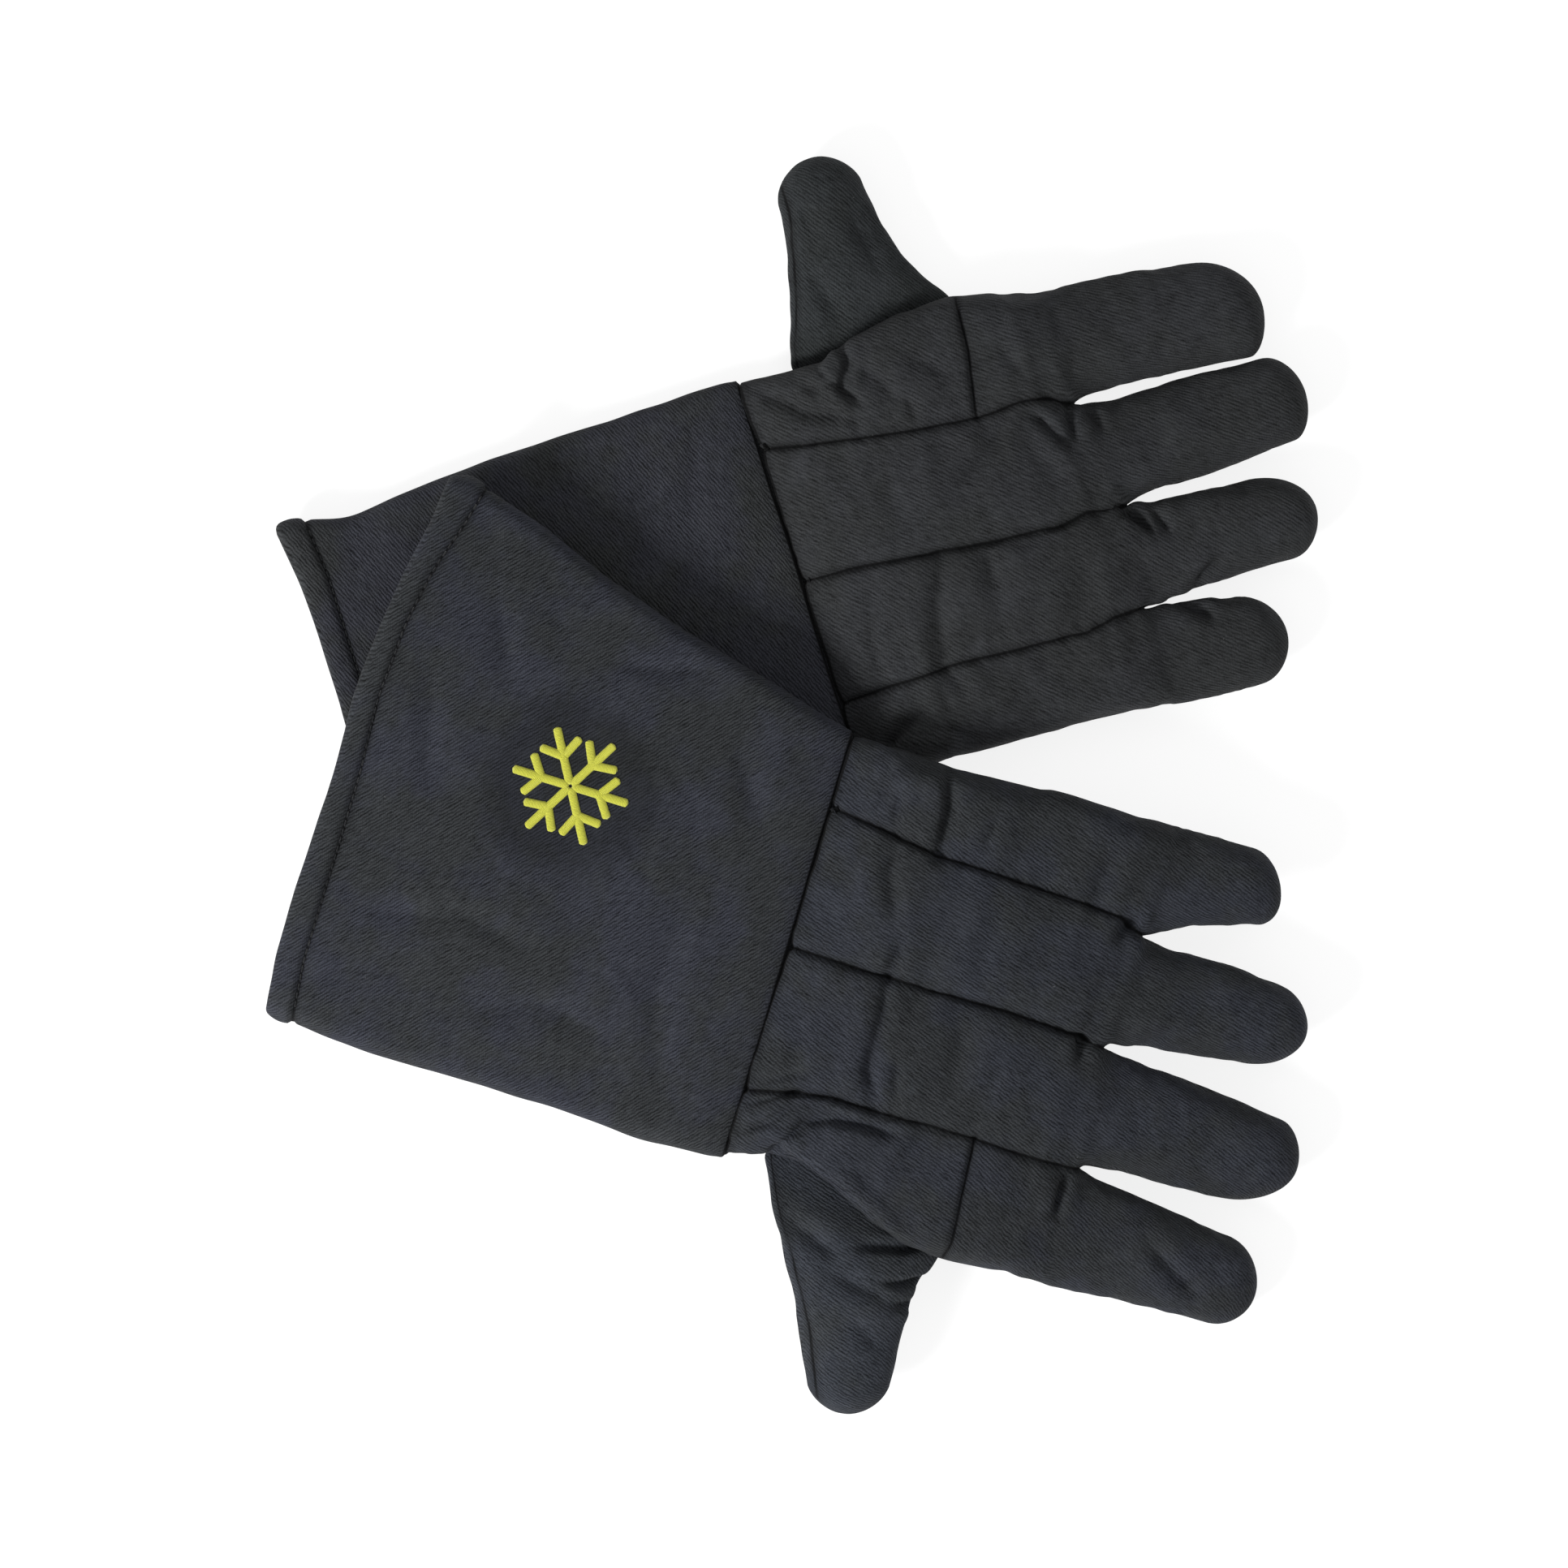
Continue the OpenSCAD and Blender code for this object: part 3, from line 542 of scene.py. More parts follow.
def simulate(obj, pin, cap):
    """Swells a padded net as cloth, holding its seams, and returns how each vertex moved, capped"""
    start = vectors(obj.data.vertices, "co")
    group = obj.vertex_groups.new(name="held")
    pin = np.round(pin, 2)
    for weight in sorted(set(pin) - {0}):
        group.add([int(i) for i in np.where(pin == weight)[0]], float(weight), "REPLACE")
    modifier = obj.modifiers.new("Cloth", "CLOTH")
    for key, value in CLOTH_SETTINGS.items():
        setattr(modifier.settings, key, value)
    modifier.settings.effector_weights.gravity = 0
    modifier.collision_settings.use_collision = False
    modifier.collision_settings.use_self_collision = False
    scene = bpy.context.scene
    scene.frame_end = CLOTH_FRAMES
    for step in range(1, CLOTH_FRAMES + 1):
        scene.frame_set(step)
    evaluated = obj.evaluated_get(bpy.context.evaluated_depsgraph_get())
    moved = vectors(evaluated.data.vertices, "co") - start
    obj.modifiers.remove(modifier)
    scene.frame_set(1)
    length = np.linalg.norm(moved, axis=1, keepdims=True)
    limit = cap * MM
    return moved * (limit * np.tanh(length / limit) / np.maximum(length, 1e-9))


def net_to_mesh(name, net, world, cap=0.0):
    """Net to a fine mesh, by way of a cloth simulation where its movement may reach cap"""
    obj = new_object(name, world, net.faces)
    for title, values in (("rest", net.rest), ("cloth", net.cloth)):
        write(obj.data.attributes.new(title, "FLOAT_VECTOR", "POINT").data, "vector", values)
    write(obj.data.polygons, "material_index", net.part, np.int32)
    if cap:
        write(obj.data.vertices, "co", np.array(world) + simulate(obj, np.array(net.pin), cap))
        obj.data.update()
    modifier = obj.modifiers.new("Subdivision", "SUBSURF")
    modifier.levels = modifier.render_levels = LEVELS
    fine = bpy.data.meshes.new_from_object(obj.evaluated_get(bpy.context.evaluated_depsgraph_get()))
    bpy.data.objects.remove(obj)
    return fine


def displace(mesh, add):
    """Moves each vertex out along its normal by so many millimetres"""
    normals = vectors(mesh.vertex_normals, "vector")
    write(mesh.vertices, "co", vectors(mesh.vertices, "co") + normals * add[:, None] * MM)
    mesh.update()


# ---- Pieces ----

def open_edges(faces):
    """The edges that only one of the quads has"""
    edges = np.concatenate([faces[:, [i, (i + 1) % 4]] for i in range(4)])
    keys = edges.min(1) * (faces.max() + 1) + edges.max(1)
    _, which, count = np.unique(keys, return_inverse=True, return_counts=True)
    return edges[count[which] == 1]


def piece(name, mesh, chosen, weave, seam, cloth):
    """A closed piece of fabric from the chosen faces of a fine mesh. `weave` gives each corner's
    place on the cloth and `seam` its distances from the seams. The outer side keeps the whole
    mesh's normals, so cuts don't show."""
    starts = numbers(mesh.polygons, "loop_start")
    corners = numbers(mesh.loops, "vertex_index")[starts[chosen][:, None] + np.arange(4)]
    used, flat = np.unique(corners, return_inverse=True)
    faces = flat.reshape(-1, 4)
    outer = vectors(mesh.vertices, "co")[used]
    outer_n = vectors(mesh.vertex_normals, "vector")[used]
    a, b = open_edges(faces).T
    rim_faces = np.column_stack([b, a, a + len(used), b + len(used)])
    all_faces = np.concatenate([faces, faces[:, ::-1] + len(used), rim_faces])
    made = bpy.data.meshes.new(name)
    made.vertices.add(2 * len(used))
    write(made.vertices, "co", np.concatenate([outer, outer - outer_n * LAYER_T * MM]))
    made.loops.add(all_faces.size)
    write(made.loops, "vertex_index", all_faces, np.int32)
    made.polygons.add(len(all_faces))
    write(made.polygons, "loop_start", np.arange(0, all_faces.size, 4), np.int32)
    made.update(calc_edges=True)
    smooth_faces(made)
    for title, values in (("weave", weave[chosen]), ("seam", seam[chosen])):
        outer_uv, inner_uv = values.reshape(-1, 2), values[:, ::-1].reshape(-1, 2)
        rim_uv = np.tile(outer_uv[:1], (rim_faces.size, 1))
        add_uv(made, title, np.concatenate([outer_uv, inner_uv, rim_uv]))
    split = np.zeros((all_faces.size, 3), np.float32)
    split[:faces.size] = outer_n[faces.ravel()]
    made.normals_split_custom_set(split.tolist())
    obj = link(name, made)
    dress(obj, "hand_twill", cloth)
    return obj


def digit_pieces(glove, name, mesh, s, mine, weave, seam, cloth, bend_from):
    """A digit's two pieces, whose faces lie at s along its axis. One bends at the digit's root and
    the other at its middle."""
    side, length = glove.side, glove.digits[name]["bend_l"]
    cut = length / 2
    for kind, parent, node, part, start, end in (
            ("root", "hand", f"{name}_base", s < cut, bend_from, cut - 1),
            ("tip", f"{name}_base", f"{name}_tip", s >= cut, cut + 1, 2 * length - cut)):
        made = piece(f"{side}_{name}_{kind}_fabric", mesh, mine & part, weave, seam, cloth)
        glove.at(name, start)
        glove.at(name, end)
        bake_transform(made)
        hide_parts(f"{side}_{node}_shell", f"{side}_{node}_padding")


# ---- Hand and fingers ----

def strip_line(glove, b, share):
    """(u, v) on boundary b of the strips, at a share of its length from wrist to crotch"""
    line = LINES[glove.side][b]
    u = 0.35 + (line[-1][0] - 0.35) * np.asarray(share, float)
    return u, along(line, u)


def hand_point(glove, row, strip, col, face):
    """A vertex of the hand between the wrist and the crotches, and how far its cloth is rolled"""
    lines = LINES[glove.side]
    step = max(row - len(TUCK), 0)
    share = (step - SEAM_ROW * (step > 0)) / (HAND_ROWS - SEAM_ROW)
    toward = smooth(step, HAND_ROWS - 6, HAND_ROWS + 1)
    t = col / STRIP_COLS
    even = (1 - math.cos(math.pi * t)) / 2
    f = (t + even) / 2 * (1 - toward) + even * toward
    (u0, v0), (u1, v1) = strip_line(glove, strip, share), strip_line(glove, strip + 1, share)
    u, v = u0 + (u1 - u0) * f, v0 + (v1 - v0) * f
    thumb_edge = strip == 0 and col == 0
    if thumb_edge or strip == 3 and col == STRIP_COLS:
        from_edge = 0.0
    else:
        from_edge = max(min(along(lines[0], u) - v, v - along(lines[4], u)), 0)
    k = min(from_edge / EDGE_ROUND[face], 1.0)
    middle = along(HAND_T, u) / 2
    puff = PUFF[face] * (4 * f * (1 - f)) ** 0.7 * smooth(share, 0, 0.25)
    w = middle + face * (middle + puff) * math.sqrt(1 - (1 - k) ** 2)
    a = math.sin((2 * t - 1) * math.pi / 2)
    digit_w = ROW_W + face * DIGIT_T / 2 * max(1 - abs(a) ** 2.4, 0) ** 0.5
    crotch = max(toward - 0.4, 0) / 0.6 * 0.45
    w = w * (1 - crotch) + digit_w * crotch
    lift = THUMB_LAP * smooth(u, *LAP_RISE) * (1 - smooth(u, *LAP_FALL))
    if thumb_edge:
        w = middle + lift
    elif strip == 0 and face == BACK:
        w += lift * (1 - smooth(from_edge, 0, 10))
    if row < len(TUCK):
        u, depth = TUCK[row]
        v -= math.copysign(max(depth - from_edge, 0), v)
        w = middle + (w - middle) * (1 - depth / middle)
    return np.array([u, v, w]), (0.0, math.copysign(rolled(k, EDGE_ROUND[face]), v))


def digit_y(glove, name, s, a):
    """Distance from a digit's axis to the place a, from -1 to 1, across it at s along it"""
    stations = np.array(OUTLINES[glove.side][name][0])
    low = along(stations[:, :2], s) - PLUMP
    high = along(stations[:, ::2], s) + PLUMP
    return (high + low) / 2 + a * (high - low) / 2


def tip_at(glove, name, a):
    """How far a digit reaches at a place a across it"""
    _, round_low, round_high, apex = OUTLINES[glove.side][name]
    away = (a - apex) / (1 - apex if a > apex else 1 + apex)
    length = round_high if away > 0 else round_low
    full = max(1 - abs(away) ** TIP_POWER, 0) ** (1 / TIP_POWER)
    return glove.digits[name]["reach"] + TIP_PLUMP - length * (1 - full)


def finger_point(glove, name, row, col, face, start):
    """A vertex of a finger stall, between the crotch row's point `start` and the tip"""
    d = glove.digits[name]
    a = math.sin((1 - 2 * col / STRIP_COLS) * math.pi / 2)
    tip_s = tip_at(glove, name, a)
    start_s, start_y = (float((start - d["root"]) @ d[way]) for way in ("forward", "across"))
    s = start_s + (tip_s - start_s) * row / FINGER_ROWS
    settle = math.exp(-row / 0.9)
    y = digit_y(glove, name, s, a) * (1 - settle) + start_y * settle
    forward = min(max(1 - (tip_s - s) / TIP_ROUND["finger"], 0), 1)
    section = max(1 - abs(a) ** (2.3 if face == BACK else 2.8), 0) ** 0.5
    section *= max(1 - forward ** 2.4, 0) ** 0.5
    thick = DIGIT_T * (1 - 0.08 * min(max(s / d["reach"], 0), 1))
    blend_in = math.exp(-row / 1.6)
    w = (ROW_W + face * thick / 2 * section) * (1 - blend_in) + start[2] * blend_in
    if abs(a) > 0.999 or row == FINGER_ROWS:
        w = ROW_W - 0.5
    place = d["root"] + d["forward"] * s + d["across"] * y
    roll = d["across"] * a * abs(a) ** 3 * 7.0 + d["forward"] * forward ** 3 * 8.0
    return np.array([place[0], place[1], w]), roll[:2]


def hand_net(glove):
    """Back and palm of the hand with its four fingers, as one net"""
    net = Net()
    cols, last = STRIP_COLS, HAND_ROWS + len(TUCK)

    def hand_key(row, strip, col, face):
        if strip == 0 and col == 0 or strip == 3 and col == cols:
            return ("edge", row, strip)
        if col in (0, cols):
            return ("seam", row, strip + col // cols, face)
        return ("hand", row, strip, col, face)

    def finger_key(strip, row, col, face):
        if row == 0:
            return hand_key(last, strip, col, face)
        if col in (0, cols) or row == FINGER_ROWS:
            return ("rim", strip, row, col)
        return ("finger", strip, row, col, face)

    def add(key, point, face, held):
        place, roll = point
        rest = (*place[:2], 0 if key[0] in ("edge", "rim") else face)
        net.vertex(key, place, rest, held, roll)

    for face in (BACK, PALM):
        for row in range(last + 1):
            for strip in range(4):
                for col in range(cols + 1):
                    key = hand_key(row, strip, col, face)
                    if key not in net.index:
                        held = 1.0 if row <= len(TUCK) else HELD.get((key[0], face), 0.0)
                        add(key, hand_point(glove, row, strip, col, face), face, held)
        for strip, name in enumerate(FINGERS):
            for col in range(cols + 1):
                start = np.array(net.places[net.index[hand_key(last, strip, col, face)]])
                for row in range(1, FINGER_ROWS + 1):
                    key = finger_key(strip, row, col, face)
                    if key not in net.index:
                        held = HELD.get((key[0], face), 0.0)
                        add(key, finger_point(glove, name, row, col, face, start), face, held)
    for face in (BACK, PALM):
        for strip in range(4):
            net.grid(lambda *k: hand_key(k[0], strip, *k[1:]), face, range(last), cols, 0)
            net.grid(lambda *k: finger_key(strip, *k), face, range(FINGER_ROWS), cols, 1 + strip)
    for seam in (1, 2, 3):
        net.quad([("seam", last, seam, BACK), ("rim", seam - 1, 1, cols),
                  ("seam", last, seam, PALM), ("rim", seam, 1, 0)], 0)
    return net


def crease_heights(points, creases):
    """Height that the creases add at each (u, v) point, and how near each point is to the
    bottom of a deep one"""
    total = np.zeros(len(points))
    near = np.full(len(points), FAR)
    for line, height, width, *lean in creases:
        d, where = distance(points, line)
        ends = 0.35 + 0.65 * smooth(where, 0, 0.25) * (1 - smooth(where, 0.75, 1))
        groove = bell(d, width)
        if height < 0:
            groove = 0.6 * groove + 0.4 * bell(d, 0.45 * width)
            ridge = 0.45 * bell(d - 2.0 * width, 1.3 * width)
            groove -= ridge * (1 - sum(lean) * side_of(points, line))
            if height < -1.7:
                near = np.minimum(near, d + 0.38 + 1.6 * (1 - ends) + 0.5 * (3.4 + height))
        total += height * groove * ends
    total = np.where(total > 0, 1.1 * np.tanh(total / 1.1), 3.2 * np.tanh(total / 3.2))
    return total, near


def edge_distance(side):
    """Distance from the seam that joins back to palm, just below the edge"""
    return np.where(np.abs(side) < 0.9, np.abs(side + 0.14) * 5.0, FAR)


def hand_detail(glove, mesh):
    """Sewn seams, puckers, creases and lumps on the fine hand. Returns each vertex's distance from
    the bottom of a fold."""
    rest = attribute(mesh, "rest")
    uv, side = rest[:, :2], rest[:, 2]
    back = smooth(side, 0.2, 0.9)
    flat = 0.35 + 0.65 * smooth(np.abs(side), 0.2, 0.9)
    wrist = np.abs(uv[:, 0])
    add = -0.5 * bell(wrist, 4.0) - 0.7 * bell(edge_distance(side), 1.0)
    near = np.full(len(uv), FAR)
    for line in LINES[glove.side][1:4] + [CROSS_SEAM[glove.side]]:
        d, where = distance(uv, line)
        open_end = 1 - 0.8 * smooth(where, 0.9, 0.98)
        add -= back * open_end * (1.5 * bell(d, 1.1) + 0.7 * bell(d, 4.5))
        near = np.minimum(near, d)
    creases, folds = crease_heights(uv, CREASES[glove.side])
    add += back * CREASE_GAIN * creases
    folds[side < 0.3] = FAR
    displace(mesh, add + waves(glove, uv, side, (
        (0.5, 3.6, 0, (1, 1), np.exp(-near / 4.0) * back),
        (0.5, 5.0, 2, (0.35, 1), np.exp(-wrist / 8.0)),
        (0.55, 17.0, 4, (1, 0.6), flat), (0.38, 8.0, 8, (1, 0.45), flat),
        (0.12, 2.6, 9, (1, 1), flat))))
    return folds


def past_cross_seam(glove, u, v):
    """How far a place lies past the cross seam at the index finger's base"""
    return u - along(np.array(CROSS_SEAM[glove.side])[:, ::-1], v)


def seam_distances(glove, rest):
    """For the dark line of each seam: distance to the nearest lengthwise or wrist seam, and the
    signed distance to the cross seam. Far away on the palm side."""
    uv, side = rest[:, :2], rest[:, 2]
    lines = LINES[glove.side]
    near = np.min([distance(uv, line)[0] for line in lines[1:4]], axis=0)
    cross = past_cross_seam(glove, *uv.T)
    cross[(uv[:, 1] < along(lines[1], uv[:, 0]) - 0.5) | (side < -0.3)] = FAR
    near[side < 0.2] = FAR
    near = np.minimum(near, edge_distance(side))
    return np.column_stack([np.minimum(near, np.abs(uv[:, 0])), cross])


def hand_weave(glove, mesh, corners):
    """Each corner's place on the cloth: panels are cut at slightly different angles"""
    u, v, side = corners.mean(1).T
    lines, grain = LINES[glove.side], GRAIN[glove.side]
    angle = np.full(len(u), float(grain["back"]))
    for line, turn in zip(lines[1:4], (3.0, -2.0, 2.5)):
        angle[v < along(line, u)] = grain["back"] + turn
    angle[(v > along(lines[1], u)) & (past_cross_seam(glove, u, v) > 0)] += 9
    angle[side < 0] = grain["palm"]
    return turned(per_corner(mesh, attribute(mesh, "cloth")), angle[:, None])


def build_hand(glove, cloth):
    side = glove.side
    net = hand_net(glove)
    mesh = net_to_mesh(f"{side}_hand_net", net, glove.place(np.array(net.places)), SWELL["hand"])
    folds = hand_detail(glove, mesh)
    rest = attribute(mesh, "rest")
    corners = per_corner(mesh, rest)
    weave = hand_weave(glove, mesh, corners)
    seams = seam_distances(glove, rest)
    seams[:, 1] = np.minimum(seams[:, 1], folds)
    seam = per_corner(mesh, seams)
    part = numbers(mesh.polygons, "material_index")
    hand = piece(f"{side}_hand_fabric", mesh, part == 0, weave, seam, cloth)
    start, end = glove.place([[0.0, 0.0, BEND_W], [HAND_BEND, 0.0, BEND_W]])
    tuple(start)
    tuple(end)
    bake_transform(hand)
    nodes = ("back_strips", "palm_panel", "hand_batting", "hand_lining")
    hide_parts(*(f"{side}_{node}" for node in nodes))
    for i, name in enumerate(FINGERS):
        d = glove.digits[name]
        s = (corners.mean(1)[:, :2] - d["root"][:2]) @ d["forward"][:2]
        digit_pieces(glove, name, mesh, s, part == 1 + i, weave, seam, cloth, FINGER_BEND)


# ---- Thumb ----

def thumb_net(glove):
    """The thumb stall, closed all round, with rest coordinates along and across its own axis"""
    net = Net()
    d = glove.digits["thumb"]

    def key(row, col, face):
        rim = col in (0, THUMB_COLS) or row in (0, THUMB_ROWS)
        return ("rim", row, col) if rim else ("thumb", row, col, face)

    def point(k, row, col, face):
        a = math.sin((1 - 2 * col / THUMB_COLS) * math.pi / 2)
        tip_s = tip_at(glove, "thumb", a)
        s = -THUMB_INSIDE + (tip_s + THUMB_INSIDE) * row / THUMB_ROWS
        y = digit_y(glove, "thumb", s, a)
        forward = min(max(1 - (tip_s - s) / TIP_ROUND["thumb"], 0), 1)
        behind = min(max(1 - (s + THUMB_INSIDE) / THUMB_BACK_ROUND, 0), 1)
        section = max(1 - abs(a) ** 2.3, 0) * max(1 - forward ** 2.4, 0) * max(1 - behind ** 2, 0)
        place = d["root"] + d["forward"] * s + d["across"] * y
        place[2] = THUMB_W + along(THUMB_T, s) / 2 * (1 + face * section ** 0.5)
        rest = (s, y, 0 if k[0] == "rim" else face)
        roll = (forward ** 3 * 8.0, a * abs(a) ** 3 * 6.0)
        return place, rest, HELD.get((k[0], face), 0.0), roll

    net.lay(key, THUMB_ROWS, THUMB_COLS, point)
    for face in (BACK, PALM):
        net.grid(key, face, range(THUMB_ROWS), THUMB_COLS, 0)
    return net


def build_thumb(glove, cloth):
    side = glove.side
    net = thumb_net(glove)
    mesh = net_to_mesh(f"{side}_thumb_net", net, glove.place(np.array(net.places)), SWELL["thumb"])
    rest = attribute(mesh, "rest")
    uv, face = rest[:, :2], rest[:, 2]
    creases, folds = crease_heights(uv, THUMB_CREASES[side])
    displace(mesh, smooth(face, 0.2, 0.9) * THUMB_CREASE_GAIN * creases + waves(glove, uv, face, (
        (0.4, 15.0, 20, (1, 0.6), 1), (0.2, 6.0, 21, (1, 1), 1))))
    side_seam = np.minimum(np.abs(digit_y(glove, "thumb", uv[:, 0], 1) - 3.2 - uv[:, 1]), folds)
    side_seam[face < 0.3] = FAR
    seam = per_corner(mesh, np.column_stack([edge_distance(face), side_seam]))
    forward = glove.digits["thumb"]["forward"]
    aim = math.degrees(math.atan2(forward[1], forward[0]))
    weave = turned(per_corner(mesh, attribute(mesh, "cloth")), GRAIN[side]["thumb"] - aim)
    s = per_corner(mesh, rest).mean(1)[:, 0]
    digit_pieces(glove, "thumb", mesh, s, True, weave, seam, cloth, THUMB_BEND)


# ---- Cuff ----

def cuff_edges(side, u):
    """v of the cuff's sides"""
    thumb, little = along(CUFF_THUMB_EDGE[side], u), along(CUFF_LITTLE_EDGE[side], u)
    return thumb + CUFF_PLUMP, little - CUFF_PLUMP


def hem_line(side, v):
    """u of the row of stitches that holds the hem"""
    return along(MOUTH[side], v) + along(HEM[side], v)


def cuff_half(side, u, v):
    """Half the thickness of the cuff at (u, v)"""
    hi, lo = cuff_edges(side, u)
    reach = (hi - lo) / 2
    off = np.abs(v - (hi + lo) / 2)
    flat = smooth(-u, 10, 60)
    thick = along(CUFF_T, u) * (1 - (0.22 + 0.18 * flat) * np.clip(off / reach, 0, 1) ** 3)
    k = np.clip((reach - off) / (CUFF_ROUND - 2.0 * flat), 0, 1)
    return thick / 2 * np.sqrt(np.maximum(1 - (1 - k) ** 2, 0))


def cuff_row(row, end):
    """u and depth below the outside, for a row of the cuff whose mouth is at u = end"""
    tucked = len(CUFF_TUCK)
    if row < tucked:
        return CUFF_TUCK[row]
    if row <= CUFF_ROWS:
        step = max(row - tucked - SEAM_ROW, 0) / (CUFF_ROWS - tucked - SEAM_ROW)
        return -0.35 + (end + 0.35) * step, 0.0
    past = row - CUFF_ROWS
    if past <= 2:
        return end - 1.3 * (past == 1), CUFF_WALL * past / 2
    return end * (1 - (past - 2) / LINING_ROWS * 0.9), CUFF_WALL + 0.6


def cuff_net(glove):
    """Outside of the cuff from the wrist to the mouth, then the lining back inside"""
    net = Net()
    side, cols = glove.side, CUFF_COLS
    turn = CUFF_ROWS + 2
    total = turn + LINING_ROWS

    def key(row, col, face):
        return ("edge", row, col) if col in (0, cols) else ("cuff", row, col, face)

    def point(k, row, col, face):
        f = 0.45 * (1 - math.cos(math.pi * col / cols)) / 2 + 0.55 * col / cols
        end = along(MOUTH[side], MOUTH_V[0] + (MOUTH_V[1] - MOUTH_V[0]) * f)
        u, depth = cuff_row(row, end)
        hi, lo = cuff_edges(side, u)
        v = hi + (lo - hi) * f
        half = cuff_half(side, 0.0 if row < len(CUFF_TUCK) else u, v)
        centre = (hi + lo) / 2
        v = centre + (v - centre) * (1 - depth * 0.9 / ((hi - lo) / 2))
        w = along(CUFF_MIDDLE, u) + face * max(half - depth, 0.0 if k[0] == "edge" else 0.35)
        inside = max(min((v - lo) / CUFF_ROUND, (hi - v) / CUFF_ROUND, 1.0), 0.0)
        rest = (u if row < turn else LINING_U - u, v, 0 if k[0] == "edge" else face)
        roll = (0.0, math.copysign(rolled(inside, CUFF_ROUND), v - centre))
        return np.array([u, v, w]), rest, 0.0, roll

    net.lay(key, total, cols, point)
    for face in (BACK, PALM):
        net.grid(key, face, range(turn), cols, 0)
        net.grid(key, face, range(turn, total), cols, 1)
    for col in range(cols):
        for face in (BACK, PALM):
            corners = ((0, col), (0, col + 1), (total, col + 1), (total, col))
            net.quad([key(*corner, face) for corner in corners[::face]], 1)
    return net


def cuff_relief(glove, uv, side):
    """Height added to the cuff's outside: hem, stitch line, wrist seam and gentle waves"""
    u, v = uv.T
    hem = along(HEM[glove.side], v)
    past = u - along(MOUTH[glove.side], v) - hem
    creases, _ = crease_heights(uv, CUFF_CREASES[glove.side])
    add = 0.75 * (1 - smooth(past, -1.2, 0.4)) - bell(past, 1.1) + 0.5 * bell(past + hem / 2, 3.2)
    add += smooth(side, 0.2, 0.9) * creases - 0.5 * bell(u, 4.0)
    by_hem = np.exp(-np.abs(past) / 6.0)
    by_wrist = np.exp(-np.abs(u) / 7.0) * smooth(-u, 0.5, 3)
    return add + waves(glove, uv, side, (
        (1.5, 46.0, 30, (1, 0.8), 1), (0.4, 15.0, 31, (1, 0.7), 1),
        (0.3, 5.0, 32, (0.4, 1), by_hem), (0.35, 6.0, 33, (0.35, 1), by_wrist)))


def build_cuff(glove, cloth, lining):
    side = glove.side
    net = cuff_net(glove)
    mesh = net_to_mesh(f"{side}_cuff_net", net, glove.place(np.array(net.places), cuff=True))
    rest = attribute(mesh, "rest")
    outside = rest[:, 0] > LINING_U / 2
    add = np.zeros(len(rest))
    add[outside] = cuff_relief(glove, rest[outside, :2], rest[outside, 2])
    displace(mesh, add)
    smooth_faces(mesh)
    weave = turned(per_corner(mesh, attribute(mesh, "cloth")), GRAIN[side]["cuff"])
    weave[per_corner(mesh, rest)[..., 2].mean(1) < 0] += CUFF_PALM_SHIFT
    add_uv(mesh, "weave", weave)
    seam = np.column_stack([np.abs(rest[:, 0]), rest[:, 0] - hem_line(side, rest[:, 1])])
    seam[~outside] = FAR
    add_uv(mesh, "seam", per_corner(mesh, seam))
    for name in ("rest", "cloth"):
        mesh.attributes.remove(mesh.attributes[name])
    obj = link(f"{side}_cuff_fabric", mesh)
    dress(obj, "cuff_twill", cloth, lining)
    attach(obj, f"{side}_cuff")
    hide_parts(*(f"{side}_cuff_{node}" for node in ("shell", "hem", "batting", "lining")))
    return obj


# ---- Threads: the badge and the hem's stitches ----

def satin_bars():
    """Start, direction and length of each bar of a six-armed snowflake"""
    arm = BADGE_SPAN / 2
    place, turn, length = BRANCH
    bars = []
    for a in np.radians(range(0, 360, 60)):
        out = heading(a)
        bars.append((BADGE_AT + out * 0.6, out, arm - 0.6))
        for side in (-1, 1):
            aim = heading(a + side * math.radians(turn))
            bars.append((BADGE_AT + out * arm * place, aim, arm * length))
    return bars


def stitch_bars(side):
    """The same for the row of stitches that holds the hem"""
    high, low = (cuff_edges(side, hem_line(side, v))[i] for i, v in enumerate((82, -136)))
    bars = []
    for v in np.arange(low + 5, high - 5 - STITCH, STITCH + STITCH_GAP):
        start, end = (np.array([hem_line(side, w), w]) for w in (v, v + STITCH))
        bars.append((start, unit(end - start), STITCH))
    return bars


